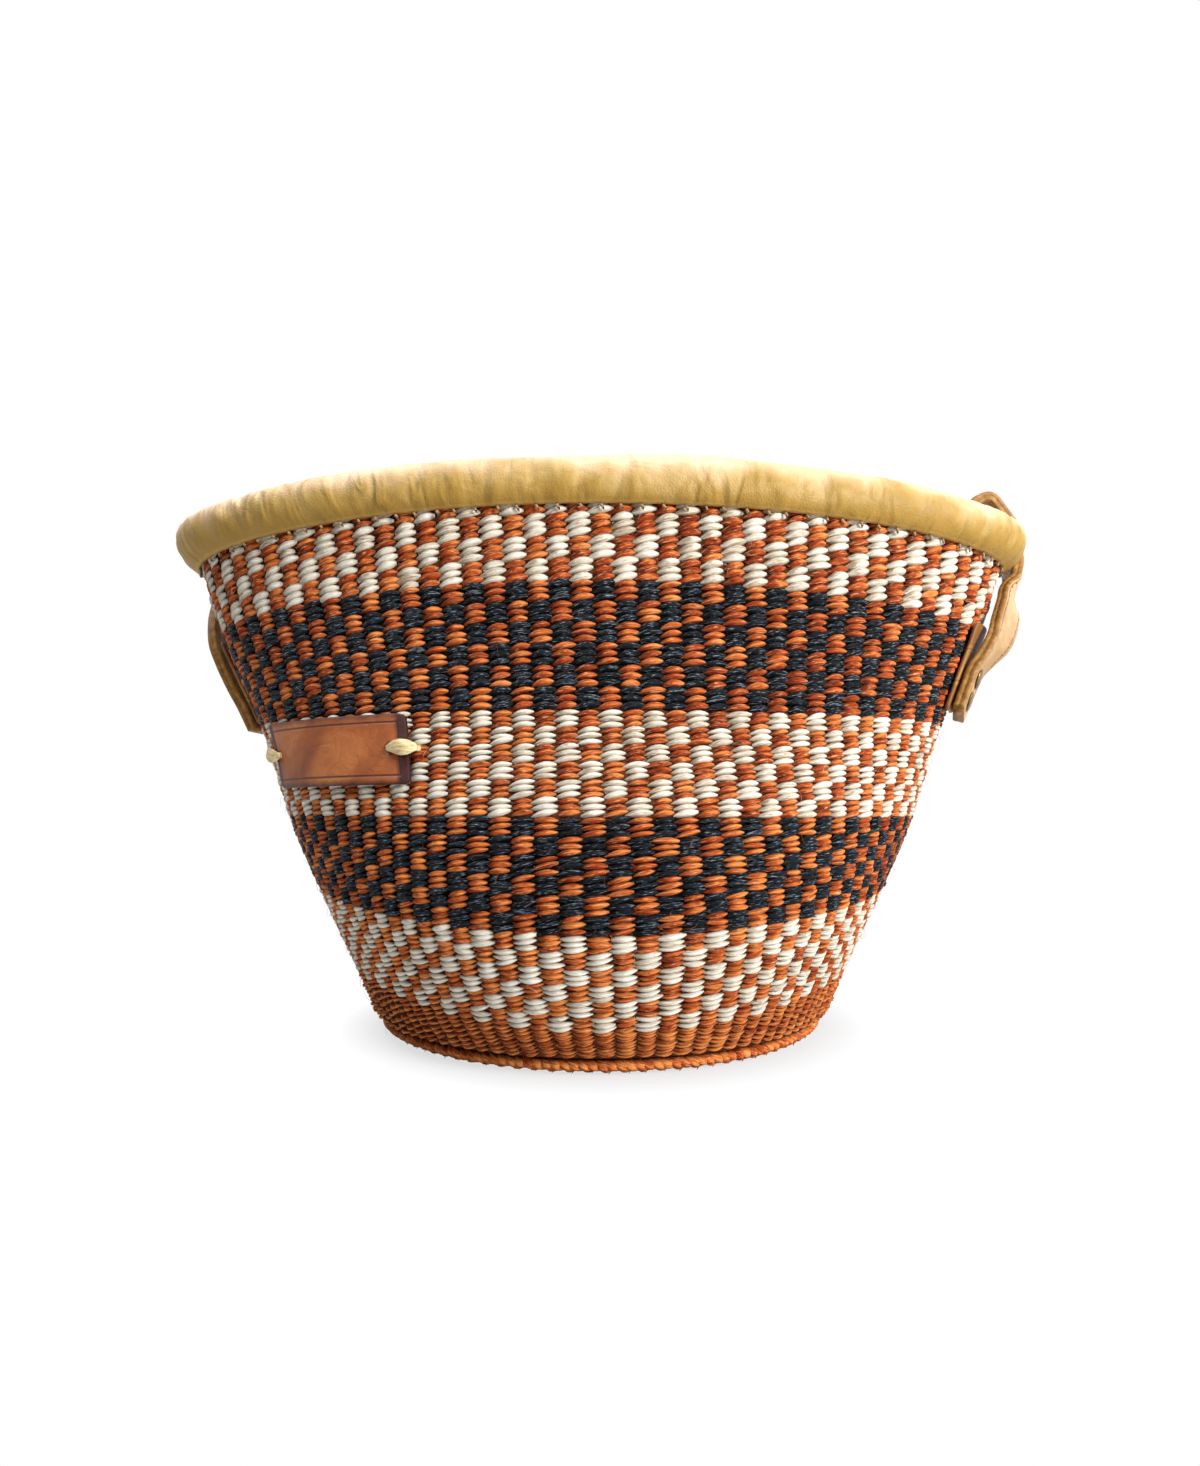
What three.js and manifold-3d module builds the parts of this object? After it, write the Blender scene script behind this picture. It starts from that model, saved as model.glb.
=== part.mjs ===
// A woven sisal crossbody bag: a round-bottomed basket with its mouth pinched to a long oval,
// a rolled leather rim, a leather label tied on with two thongs, and a long leather shoulder
// strap riveted to both ends of the oval. The strap is put away: it goes over the rim behind
// each end, down inside the wall, and lies folded to and fro on the basket's floor.
// Millimetres. +Z is up, +X is the wearer's right of the long axis, and the front faces -Y.
// The origin is on the ground, under the middle of the base.
import * as THREE from "three";
import { mergeVertices } from "three/addons/utils/BufferGeometryUtils.js";
import Module from "manifold-3d";

const wasm = await Module();
wasm.setup();

// Wall of sisal, woven round upright ribs.
const wallThickness = 3.6;
const seat = 0.3; // clearance wherever one piece rests on another
const ringSteps = 56; // facets round the oval

// Round base and the twined cord round its edge.
const baseDiscRadius = 63.2;
const baseThickness = 3.4;
const braidDiameter = 4.6;

// Half width and half depth of the oval, outside, at each change of colour.
const footRadius = 70.2;
const rustTopRadius = 76.2;
const lowCreamTopRadius = 86;
const lowNavyTop = { halfWidth: 95.4, halfDepth: 81.6 };
const midCreamTop = { halfWidth: 105.3, halfDepth: 68.8 };
const highNavyTop = { halfWidth: 119, halfDepth: 54.4 };
const mouth = { halfWidth: 127, halfDepth: 48 };

// Height of each band of colour at the middle of the front.
const rustBandHeight = 7.6;
const lowCreamBandHeight = 24;
const lowNavyBandHeight = 26.5;
const midCreamBandHeight = 25.6;
const highNavyBandHeight = 34.9;
const topCreamBandHeight = 25.5;

// How much higher each change of colour lies at the ends of the oval than at its front.
const footRise = 0;
const rustTopRise = 9;
const lowCreamTopRise = 7.2;
const lowNavyTopRise = 0;
const midCreamTopRise = 0.9;
const highNavyTopRise = -5;
const mouthRise = -6.2;

// Rolled rim: a hoop of bundled sisal under a goatskin wrap.
const rimRollHeight = 15;
const rimRollThickness = 12.4;
const rimLeatherThickness = 1.5;
const rimOverlap = 4.5; // how far the wrap reaches down over the wall's top edge
const hoopClearance = 0.35;
const rimThreadDiameter = 1.1;

// Leather label on the front, towards one end.
const labelLength = 52;
const labelHeight = 17.8;
const labelThickness = 1.5;
const labelCentreHeight = 79.2;
const labelNearEndAngle = 243; // degrees from +X, counter-clockwise seen from above
const labelHoleInset = 4.5;

// Thongs that tie the label on.
const thongWidth = 3.2;
const thongThickness = 1.2;
const thongLegDiameter = 1.8;
const thongSpan = 6.4;
const thongHoleClearance = 0.3;
const thongOverhang = 0.4; // of a bar past its legs

// Shoulder strap: two layers of leather sewn together.
const strapWidth = 12;
const strapThickness = 3.2;
const strapFoldReach = 46; // from the middle of the floor to each fold
const strapFoldPitch = 5.2;
const strapFoldShifts = [[0, 0], [-2, 1.2], [1.5, -0.8], [-3, 1.4], [0.5, -1], [-1.5, 0.6], [0, 0]];
const strapJoint = 0.3; // left open between one length of strap and the next
const strapWallGap = 5.2; // between the stored strap and the inside of the wall
const strapBend = 10; // reach of the bend from the wall on to the floor or the folds

// Anchor of the strap near each end of the oval.
const anchorHeights = { right: 93.8, left: 91.5 }; // lower ends of the strap
const anchorTurns = { right: 18, left: -0.5 }; // degrees from the end of the oval towards the front
const tabWidth = 12.8;
const tabHeight = 26;
const tabThickness = 1.3;
const backingWidth = 14;
const backingHeight = 22;
const backingThickness = 1.5;
const backingGap = 0.5;
const rivetShankDiameter = 2.6;
const rivetHeadDiameter = 6;
const rivetHeadHeight = 0.8;
const rivetHoleClearance = 0.3;
const rivetInset = 4.2; // from the strap's lower end to the lower rivet
const rivetSpacing = 6.6;

const rivetHeights = (name) => [0, rivetSpacing].map((step) => anchorHeights[name] + rivetInset + step);
const up = new THREE.Vector3(0, 0, 1);
const degrees = THREE.MathUtils.degToRad;

// The changes of section, from the foot to the wall's top edge.
const braidFlat = degrees(30); // the braid is trodden flat to this angle where it meets the ground
const braidHeight = (braidDiameter / 2) * (1 + Math.cos(braidFlat));
const footHeight = braidHeight + seat;
const bandHeights = [
  rustBandHeight, lowCreamBandHeight, lowNavyBandHeight,
  midCreamBandHeight, highNavyBandHeight, topCreamBandHeight,
];
const rises = [
  footRise, rustTopRise, lowCreamTopRise, lowNavyTopRise, midCreamTopRise, highNavyTopRise, mouthRise,
];
const halfWidths = [
  footRadius, rustTopRadius, lowCreamTopRadius,
  lowNavyTop.halfWidth, midCreamTop.halfWidth, highNavyTop.halfWidth, mouth.halfWidth,
];
const halfDepths = [
  footRadius, rustTopRadius, lowCreamTopRadius,
  lowNavyTop.halfDepth, midCreamTop.halfDepth, highNavyTop.halfDepth, mouth.halfDepth,
];
const levels = [footHeight];
for (const height of bandHeights) {
  levels.push(levels.at(-1) + height);
}
const wallTop = levels.at(-1);

// A smooth value between the levels, by cubic Hermite steps.
function between(values, level) {
  let i = 0;
  while (i < levels.length - 2 && level > levels[i + 1]) i++;
  const slope = (k) => {
    const before = Math.max(k - 1, 0);
    const after = Math.min(k + 1, levels.length - 1);
    return (values[after] - values[before]) / (levels[after] - levels[before]);
  };
  const step = levels[i + 1] - levels[i];
  const t = (level - levels[i]) / step;
  if (t > 1) return values[i + 1] + slope(i + 1) * (level - levels[i + 1]);
  const h = 1 - t;
  return (
    h * h * (1 + 2 * t) * values[i] + t * h * h * step * slope(i) +
    t * t * (3 - 2 * t) * values[i + 1] - t * t * h * step * slope(i + 1)
  );
}

// Outward normal of the oval, level with the ground.
function ovalNormal(halfWidth, halfDepth, angle) {
  return new THREE.Vector3(Math.cos(angle) / halfWidth, Math.sin(angle) / halfDepth, 0).normalize();
}

// A point of the wall: level is its height at the front, angle is the oval's own parameter,
// and outward is its distance from the outer face.
function wallPoint(level, angle, outward) {
  const a = between(halfWidths, level);
  const b = between(halfDepths, level);
  const rise = between(rises, level) * Math.cos(angle) ** 2;
  return new THREE.Vector3(a * Math.cos(angle), b * Math.sin(angle), level + rise)
    .addScaledVector(ovalNormal(a, b, angle), outward);
}

// The level at which the wall reaches a height above the ground, at one angle.
function levelAt(height, angle) {
  let level = height;
  for (let i = 0; i < 12; i++) {
    level = (level + height - between(rises, level) * Math.cos(angle) ** 2) / 2;
  }
  return level;
}

// A closed body from rings of points: quads join each ring to the next.
function bodyFromRings(rings, closed) {
  const count = rings[0].length;
  const positions = rings.flat().flatMap((p) => [p.x, p.y, p.z]);
  const faces = [];
  const last = closed ? rings.length : rings.length - 1;
  for (let i = 0; i < last; i++) {
    const here = i * count;
    const next = ((i + 1) % rings.length) * count;
    for (let j = 0; j < count; j++) {
      const k = (j + 1) % count;
      faces.push(here + j, here + k, next + k, here + j, next + k, next + j);
    }
  }
  if (!closed) {
    const end = (rings.length - 1) * count;
    for (let j = 1; j < count - 1; j++) {
      faces.push(0, j + 1, j, end, end + j, end + j + 1);
    }
  }
  const geometry = new THREE.BufferGeometry();
  geometry.setAttribute("position", new THREE.Float32BufferAttribute(positions, 3));
  if (signedVolume(positions, faces) < 0) faces.reverse();
  geometry.setIndex(faces);
  return geometry;
}

function signedVolume(positions, faces) {
  const corner = (i) => new THREE.Vector3().fromArray(positions, 3 * i);
  let volume = 0;
  for (let f = 0; f < faces.length; f += 3) {
    volume += corner(faces[f]).dot(corner(faces[f + 1]).cross(corner(faces[f + 2])));
  }
  return volume / 6;
}

// A ring that goes once round the oval, with sectionAt giving its section at each angle.
function ringAround(sectionAt) {
  const rings = [];
  for (let i = 0; i < ringSteps; i++) {
    rings.push(sectionAt((2 * Math.PI * i) / ringSteps));
  }
  return bodyFromRings(rings, true);
}

// A flat strip that follows points, as wide as its widths' directions say.
function strip(points, widthDirections, width, thickness) {
  const rings = points.map((point, i) => {
    const before = points[Math.max(i - 1, 0)];
    const after = points[Math.min(i + 1, points.length - 1)];
    const along = after.clone().sub(before).normalize();
    const across = widthDirections[i].clone().addScaledVector(along, -widthDirections[i].dot(along)).normalize();
    const outward = across.clone().cross(along);
    return [[-1, -1], [1, -1], [1, 1], [-1, 1]].map(([w, t]) =>
      point.clone().addScaledVector(across, (w * width) / 2).addScaledVector(outward, (t * thickness) / 2));
  });
  return bodyFromRings(rings, false);
}

function solidOf(geometry) {
  const bare = geometry.clone();
  bare.deleteAttribute("normal");
  bare.deleteAttribute("uv");
  const merged = mergeVertices(bare, 1e-4);
  return new wasm.Manifold(new wasm.Mesh({
    numProp: 3,
    vertProperties: new Float32Array(merged.attributes.position.array),
    triVerts: new Uint32Array(merged.index.array),
  }));
}

function geometryOf(solid) {
  const mesh = solid.getMesh();
  const geometry = new THREE.BufferGeometry();
  geometry.setAttribute("position", new THREE.BufferAttribute(mesh.vertProperties, 3));
  geometry.setIndex(new THREE.BufferAttribute(mesh.triVerts, 1));
  return geometry;
}

function cut(geometry, cutters) {
  let solid = solidOf(geometry);
  for (const cutter of cutters) solid = solid.subtract(solidOf(cutter));
  return geometryOf(solid);
}

function join(geometries) {
  let solid = solidOf(geometries[0]);
  for (const other of geometries.slice(1)) solid = solid.add(solidOf(other));
  return geometryOf(solid);
}

// A round rod from one point to another.
function rod(from, to, diameter) {
  const length = from.distanceTo(to);
  const geometry = new THREE.CylinderGeometry(diameter / 2, diameter / 2, length, 12);
  const turn = new THREE.Quaternion().setFromUnitVectors(
    new THREE.Vector3(0, 1, 0), to.clone().sub(from).normalize());
  geometry.applyQuaternion(turn);
  const middle = from.clone().add(to).multiplyScalar(0.5);
  return geometry.translate(middle.x, middle.y, middle.z);
}

// A slab that follows the wall between two angles and two heights.
function wallPatch(angles, heights, near, far) {
  const columns = angles.length;
  const rings = [];
  for (let i = 0; i < columns; i++) {
    const point = (height, outward) => wallPoint(levelAt(height, angles[i]), angles[i], outward);
    rings.push([
      ...heights.map((h) => point(h, near)),
      ...heights.toReversed().map((h) => point(h, far)),
    ]);
  }
  return bodyFromRings(rings, false);
}

function steps(from, to, count) {
  return Array.from({ length: count + 1 }, (_, i) => from + ((to - from) * i) / count);
}

// Sisal base and bands.
function baseDisc() {
  return new THREE.CylinderGeometry(baseDiscRadius, baseDiscRadius, baseThickness, ringSteps)
    .rotateX(Math.PI / 2)
    .translate(0, 0, baseThickness / 2);
}

function baseBraid() {
  const radius = braidDiameter / 2;
  const centreRadius = baseDiscRadius + seat + radius;
  const corners = steps(-Math.PI / 2 + braidFlat, (3 * Math.PI) / 2 - braidFlat, 6);
  const drop = radius * Math.cos(braidFlat);
  return ringAround((angle) => corners.map((c) => {
    const r = centreRadius + radius * Math.cos(c);
    return new THREE.Vector3(r * Math.cos(angle), r * Math.sin(angle), drop + radius * Math.sin(c));
  }));
}

function band(index) {
  const bottom = levels[index] + (index ? seat : 0);
  const middles = steps(bottom, levels[index + 1], 2);
  return ringAround((angle) => [
    ...middles.map((level) => wallPoint(level, angle, 0)),
    ...middles.toReversed().map((level) => wallPoint(level, angle, -wallThickness)),
  ]);
}

// The rim: the roll's middle stands over the middle of the wall's top edge, and the roll leans with the wall.
const rollMiddleAboveWall = rimRollHeight / 2 - rimOverlap;

function rimPoint(angle, outward, above) {
  return wallPoint(wallTop + rollMiddleAboveWall + above, angle, outward - wallThickness / 2);
}

function rimLeather() {
  const slotHalf = wallThickness / 2 + seat;
  const outer = { across: rimRollThickness / 2, high: rimRollHeight / 2 };
  const inner = { across: outer.across - rimLeatherThickness, high: outer.high - rimLeatherThickness };
  const gapAngle = (size) => Math.asin(slotHalf / size.across);
  const arc = (size, from, to) => steps(from, to, 7)
    .map((c) => [size.across * Math.sin(c), -size.high * Math.cos(c)]);
  const outline = [
    ...arc(outer, gapAngle(outer), 2 * Math.PI - gapAngle(outer)),
    ...arc(inner, 2 * Math.PI - gapAngle(inner), gapAngle(inner)),
  ];
  return ringAround((angle) => outline.map(([across, above]) => rimPoint(angle, across, above)));
}

function rimHoop() {
  const across = rimRollThickness / 2 - rimLeatherThickness - hoopClearance;
  const top = rimRollHeight / 2 - rimLeatherThickness - hoopClearance;
  const bottom = -rollMiddleAboveWall + seat;
  const middle = (top + bottom) / 2;
  const fit = 0.86; // keeps the hoop's corners inside the wrap
  const corners = steps(0, 2 * Math.PI, 6).slice(0, -1);
  return ringAround((angle) => corners.map((c) =>
    rimPoint(angle, across * fit * Math.cos(c), middle + ((top - bottom) / 2) * Math.sin(c))));
}

function rimThread() {
  const half = rimThreadDiameter / 2;
  const below = -rimRollHeight / 2 - half;
  return ringAround((angle) => [[0, -1], [1, 0], [0, 1], [-1, 0]].map(([x, z]) =>
    rimPoint(angle, wallThickness / 2 + seat + half + half * x, below + half * z)));
}

// The label, its two thongs and their holes.
const labelBottom = labelCentreHeight - labelHeight / 2;
const labelTop = labelCentreHeight + labelHeight / 2;

// The angle reached by going a distance along the outer face from a first angle, seen from above.
function angleAlong(height, start, distance) {
  const step = Math.sign(distance) * degrees(0.1);
  let angle = start;
  let gone = 0;
  while (gone < Math.abs(distance)) {
    const here = wallPoint(height, angle, 0);
    angle += step;
    gone += here.distanceTo(wallPoint(height, angle, 0));
  }
  return angle;
}

const labelNear = degrees(labelNearEndAngle);
const labelFar = angleAlong(labelCentreHeight, labelNear, -labelLength);
const thongs = {
  label_thong_near: thongFrame(angleAlong(labelCentreHeight, labelNear, -labelHoleInset), 1),
  label_thong_far: thongFrame(angleAlong(labelCentreHeight, labelFar, labelHoleInset), -1),
};

// Where a thong's two legs stand: one in the label's hole, and one past the label's end.
function thongFrame(holeAngle, side) {
  const pastAngle = angleAlong(labelCentreHeight, holeAngle, side * thongSpan);
  return [holeAngle, pastAngle].map((angle) => ({
    outer: wallPoint(labelCentreHeight, angle, seat + labelThickness + seat),
    inner: wallPoint(labelCentreHeight, angle, -wallThickness - seat),
    slope: wallPoint(labelCentreHeight + 1, angle, 0).sub(wallPoint(labelCentreHeight, angle, 0)),
  }));
}

function thong(legs) {
  const [a, b] = legs;
  const bar = (end) => {
    const outward = end === "outer" ? 1 : -1;
    const lift = (p) => p[end].clone().addScaledVector(p.outer.clone().sub(p.inner).normalize(),
      (outward * thongThickness) / 2);
    const from = lift(a);
    const to = lift(b);
    const over = to.clone().sub(from).normalize().multiplyScalar(thongLegDiameter / 2 + thongOverhang);
    return strip([from.sub(over), to.add(over)], [a.slope, b.slope], thongWidth, thongThickness);
  };
  const reach = thongThickness / 2;
  const leg = ({ outer, inner }) => {
    const way = outer.clone().sub(inner).normalize().multiplyScalar(reach);
    return rod(inner.clone().sub(way), outer.clone().add(way), thongLegDiameter);
  };
  return join([bar("outer"), bar("inner"), leg(a), leg(b)]);
}

function thongHoles() {
  const holeDiameter = thongLegDiameter + 2 * thongHoleClearance;
  const past = 4;
  return Object.values(thongs).flat().map(({ outer, inner }) => {
    const way = outer.clone().sub(inner).normalize().multiplyScalar(past);
    return rod(inner.clone().sub(way), outer.clone().add(way), holeDiameter);
  });
}

function label() {
  const angles = steps(labelFar, labelNear, 12);
  const plate = wallPatch(angles, steps(labelBottom, labelTop, 2), seat, seat + labelThickness);
  return cut(plate, thongHoles());
}

// Anchors: a tab outside, a backing inside and two rivets through everything.
const anchorAngles = { right: degrees(-anchorTurns.right), left: degrees(180 + anchorTurns.left) };

function anchorSpan(name, width) {
  const half = width / 2 / midCreamTop.halfDepth;
  return steps(anchorAngles[name] - half, anchorAngles[name] + half, 6);
}

function anchorTab(name) {
  const heights = steps(anchorHeights[name], anchorHeights[name] + tabHeight, 3);
  return cut(wallPatch(anchorSpan(name, tabWidth), heights, seat, seat + tabThickness), rivetHoles(name));
}

function anchorBacking(name) {
  const heights = steps(anchorHeights[name], anchorHeights[name] + backingHeight, 3);
  const face = -wallThickness - backingGap;
  const patch = wallPatch(anchorSpan(name, backingWidth), heights, face - backingThickness, face);
  return cut(patch, rivetHoles(name));
}

// The level direction along the wall, counter-clockwise seen from above.
function levelAcross(height, angle) {
  const level = levelAt(height, angle);
  return up.clone().cross(ovalNormal(between(halfWidths, level), between(halfDepths, level), angle));
}

// A point off the wall at an anchor, square to the wall's slope there.
function anchorPoint(name, height, outward) {
  const angle = anchorAngles[name];
  const here = wallPoint(levelAt(height, angle), angle, 0);
  const above = wallPoint(levelAt(height + 1, angle), angle, 0);
  const out = levelAcross(height, angle).cross(above.sub(here)).normalize();
  return here.addScaledVector(out, outward);
}

const strapSeat = seat + tabThickness + seat; // from the wall to the strap's inner face

function rivetAxis(name, height) {
  const inner = -wallThickness - backingGap - backingThickness - seat;
  const outer = strapSeat + strapThickness + seat;
  return { inner: anchorPoint(name, height, inner), outer: anchorPoint(name, height, outer) };
}

function rivet(name, height) {
  const { inner, outer } = rivetAxis(name, height);
  const out = outer.clone().sub(inner).normalize().multiplyScalar(rivetHeadHeight);
  return join([
    rod(inner.clone().sub(out), outer.clone().add(out), rivetShankDiameter),
    rod(outer, outer.clone().add(out), rivetHeadDiameter),
    rod(inner.clone().sub(out), inner, rivetHeadDiameter),
  ]);
}

function rivetHoles(name) {
  const holeDiameter = rivetShankDiameter + 2 * rivetHoleClearance;
  return rivetHeights(name).map((height) => {
    const { inner, outer } = rivetAxis(name, height);
    return rod(inner, outer, holeDiameter);
  });
}

// The strap's way up outside and over the rim. Each knot of the climb gives the share of the
// height from the anchor to the rim's lower edge, the share of the turn from the anchor to the
// crossing, the distance off the seat, and the strap's twist from the wall's face in degrees.
// Each knot of the curl gives the distance from the middle of the roll along the strap's way
// over it, and the height above that middle. The curl leans in over the mouth.
const strapCentre = strapSeat + strapThickness / 2;
const routes = {
  right: {
    crossing: degrees(11),
    climb: [
      [0, 0, 0, 0], [0.14, 0, 0, 0], [0.25, 0, 0.1, 1], [0.34, 0.04, 1.7, 6],
      [0.46, 0.13, 2.5, 17], [0.64, 0.33, 2.1, 22], [0.767, 0.54, 2.2, 22], [0.85, 0.66, 3.7, 22],
    ],
    besideRoll: { share: 0.82, out: 10.4, twist: 23 },
    curl: [[9.2, 5], [6.2, 10.6], [0.6, 16], [-5.6, 20.8], [-10.6, 18.2], [-13.4, 12], [-14.6, 5], [-14, -1]],
    curlTwist: 25,
    side: 1,
  },
  left: {
    crossing: degrees(158),
    climb: [
      [0, 0, 0, 0], [0.14, 0, 0, 0], [0.25, 0, 0.2, 0], [0.36, 0.05, 0.9, -2],
      [0.48, 0.15, 1.2, -4], [0.62, 0.33, 0.9, -5], [0.76, 0.56, 1.2, -4],
    ],
    besideRoll: { share: 0.9, out: 9.3, twist: 0 },
    curl: [[7.6, 10.4], [0, 12.6], [-7.2, 10.6], [-9.8, 0]],
    curlTwist: 0,
    side: -1,
  },
};

function outsideRun(name) {
  const { crossing, climb, besideRoll, curl, curlTwist } = routes[name];
  const start = anchorAngles[name];
  const toRim = wallTop - rimOverlap - anchorHeights[name];
  const twisted = (height, angle, twist) => levelAcross(height, angle).applyAxisAngle(up, -degrees(twist));
  const knots = climb.map(([share, turn, off, twist]) => {
    const height = anchorHeights[name] + share * toRim;
    const angle = start + (crossing - start) * turn;
    const point = turn ? wallPoint(levelAt(height, angle), angle, strapCentre + off)
      : anchorPoint(name, height, strapCentre + off);
    return [point, twisted(height, angle, twist)];
  });
  const beside = start + (crossing - start) * besideRoll.share;
  knots.push([
    rimPoint(beside, besideRoll.out, -0.1 * rimRollHeight),
    twisted(wallTop, beside, besideRoll.twist),
  ]);
  const width = twisted(wallTop, crossing, curlTwist);
  const over = width.clone().cross(up);
  for (const [out, above] of curl) {
    knots.push([rimPoint(crossing, 0, above).addScaledVector(over, out), width]);
  }
  return knots;
}

// Down the inside of the wall, from under the rim to a last height, to the middle of the end.
function insideRun(name, lastHeight) {
  const { crossing, side } = routes[name];
  const middle = side > 0 ? 0 : Math.PI;
  const heights = steps(wallTop - 0.8 * rimRollHeight, lastHeight, 8);
  const outward = -wallThickness - strapThickness / 2 - strapWallGap;
  return heights.map((height, i) => {
    const t = (i + 1) / heights.length;
    const angle = crossing + (middle - crossing) * t * (2 - t);
    return [wallPoint(levelAt(height, angle), angle, outward), new THREE.Vector3(0, side, 0)];
  });
}

// A smooth strip through knots of point and width direction.
function smoothKnots(knots, count) {
  const way = new THREE.CatmullRomCurve3(knots.map(([p]) => p), false, "centripetal");
  const turn = new THREE.CatmullRomCurve3(knots.map(([, w]) => w.clone().normalize()), false, "catmullrom");
  const fractions = steps(0, 1, count);
  return {
    points: fractions.map((t) => way.getPoint(t)),
    widths: fractions.map((t) => turn.getPoint(t).normalize()),
  };
}

// The folds: the bottom layer starts at the right end and the top layer ends at the left one.
const foldBottom = baseThickness + seat + strapThickness / 2;
const foldHeight = (layer) => foldBottom + layer * strapFoldPitch;
const lastFold = strapFoldShifts.length - 1;

function foldPoints() {
  const points = [];
  strapFoldShifts.forEach(([reachShift, sideShift], layer) => {
    const heading = layer % 2 ? 1 : -1;
    const z = foldHeight(layer);
    if (layer === 0) points.push(new THREE.Vector3(strapFoldReach - strapJoint, sideShift, z));
    if (layer === lastFold) {
      points.push(new THREE.Vector3(-strapFoldReach + strapJoint, sideShift, z));
      return;
    }
    const nextSide = strapFoldShifts[layer + 1][1];
    const radius = strapFoldPitch / 2;
    const x = heading * (strapFoldReach + reachShift);
    for (const turn of steps(-Math.PI / 2, Math.PI / 2, 6)) {
      points.push(new THREE.Vector3(
        x + heading * radius * Math.cos(turn), nextSide, z + radius + radius * Math.sin(turn)));
    }
  });
  return points;
}

function strapFolds() {
  const points = foldPoints();
  const level = new THREE.Vector3(0, 1, 0);
  return strip(points, points.map(() => level), strapWidth, strapThickness);
}

const strapParts = { right: rightRun(), left: leftRun() };

function rightRun() {
  const level = new THREE.Vector3(0, 1, 0);
  const onFloor = (reach, lift) => [new THREE.Vector3(strapFoldReach + reach, 0, foldBottom + lift), level];
  return smoothKnots([
    ...outsideRun("right"),
    ...insideRun("right", foldBottom + strapBend),
    onFloor(1.25 * strapBend, 0.2 * strapBend),
    onFloor(0.6 * strapBend, 0),
    onFloor(0, 0),
  ], 90);
}

function leftRun() {
  const level = new THREE.Vector3(0, -1, 0);
  const z = foldHeight(lastFold);
  const onFolds = (reach, lift) => [new THREE.Vector3(-strapFoldReach - reach, 0, z + lift), level];
  return smoothKnots([
    ...outsideRun("left"),
    ...insideRun("left", z + strapBend),
    onFolds(1.8 * strapBend, 0.2 * strapBend),
    onFolds(0.9 * strapBend, 0),
    onFolds(0, 0),
  ], 84);
}

function lengthOf(points) {
  return points.slice(1).reduce((sum, p, i) => sum + p.distanceTo(points[i]), 0);
}

function strapRun(name) {
  const { points, widths } = strapParts[name];
  return cut(strip(points, widths, strapWidth, strapThickness), rivetHoles(name));
}

// Finishes.
const finish = (color, roughness, metalness = 0) => new THREE.MeshStandardMaterial({ color, roughness, metalness });
const rustSisal = finish(0xb0551f, 0.9);
const creamSisal = finish(0xe6dcc8, 0.9);
const navySisal = finish(0x232a36, 0.9);
const rimGoatskin = finish(0xcfae66, 0.6);
const labelLeather = finish(0xa8673a, 0.6);
const strapLeather = finish(0xb48a56, 0.6);
const thongHide = finish(0xe0cc98, 0.7);
const rivetBrass = finish(0xb08d57, 0.35, 1);

const bag = new THREE.Group();

function add(name, geometry, material) {
  const mesh = new THREE.Mesh(geometry, material);
  mesh.name = name;
  bag.add(mesh);
}

add("base_disc", baseDisc(), rustSisal);
add("base_edge_braid", baseBraid(), rustSisal);

const bandNames = [
  "wall_band_1_rust", "wall_band_2_cream", "wall_band_3_navy",
  "wall_band_4_cream", "wall_band_5_navy", "wall_band_6_cream",
];
const bandFinishes = [rustSisal, creamSisal, navySisal, creamSisal, navySisal, creamSisal];
const wallHoles = [...rivetHoles("right"), ...rivetHoles("left"), ...thongHoles()];
bandNames.forEach((name, i) => add(name, cut(band(i), wallHoles), bandFinishes[i]));

add("rim_hoop", rimHoop(), creamSisal);
add("rim_leather", rimLeather(), rimGoatskin);
add("rim_thread", rimThread(), creamSisal);

add("label", label(), labelLeather);
for (const [name, legs] of Object.entries(thongs)) add(name, thong(legs), thongHide);

for (const name of ["right", "left"]) {
  add(`strap_tab_${name}`, anchorTab(name), strapLeather);
  add(`strap_backing_${name}`, anchorBacking(name), strapLeather);
  add(`strap_run_${name}`, strapRun(name), strapLeather);
  rivetHeights(name).forEach((height, i) =>
    add(`rivet_${name}_${["lower", "upper"][i]}`, rivet(name, height), rivetBrass));
}
add("strap_folds", strapFolds(), strapLeather);

const strapLength = lengthOf(strapParts.right.points) + lengthOf(strapParts.left.points) +
  lengthOf(foldPoints());
console.log(`strap ${strapLength.toFixed(0)} mm long`);

export default bag;
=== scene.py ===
import math

import bpy
import numpy as np
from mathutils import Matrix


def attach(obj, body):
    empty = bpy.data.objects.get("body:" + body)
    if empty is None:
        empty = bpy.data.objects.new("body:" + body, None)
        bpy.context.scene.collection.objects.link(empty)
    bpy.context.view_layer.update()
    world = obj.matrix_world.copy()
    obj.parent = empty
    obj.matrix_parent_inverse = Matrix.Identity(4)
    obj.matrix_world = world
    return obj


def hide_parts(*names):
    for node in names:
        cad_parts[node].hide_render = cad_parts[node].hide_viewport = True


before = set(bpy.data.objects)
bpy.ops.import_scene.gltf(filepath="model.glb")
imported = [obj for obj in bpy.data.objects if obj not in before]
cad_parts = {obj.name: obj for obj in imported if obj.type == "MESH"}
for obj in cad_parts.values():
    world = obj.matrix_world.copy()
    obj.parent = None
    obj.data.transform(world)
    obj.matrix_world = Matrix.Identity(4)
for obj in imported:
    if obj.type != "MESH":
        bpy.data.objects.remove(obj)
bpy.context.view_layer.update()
SCENE = bpy.context.scene
SCENE.view_settings.view_transform = "Standard"
TURN = 2 * math.pi
UP = np.array([0, 0, 1.0])

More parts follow.
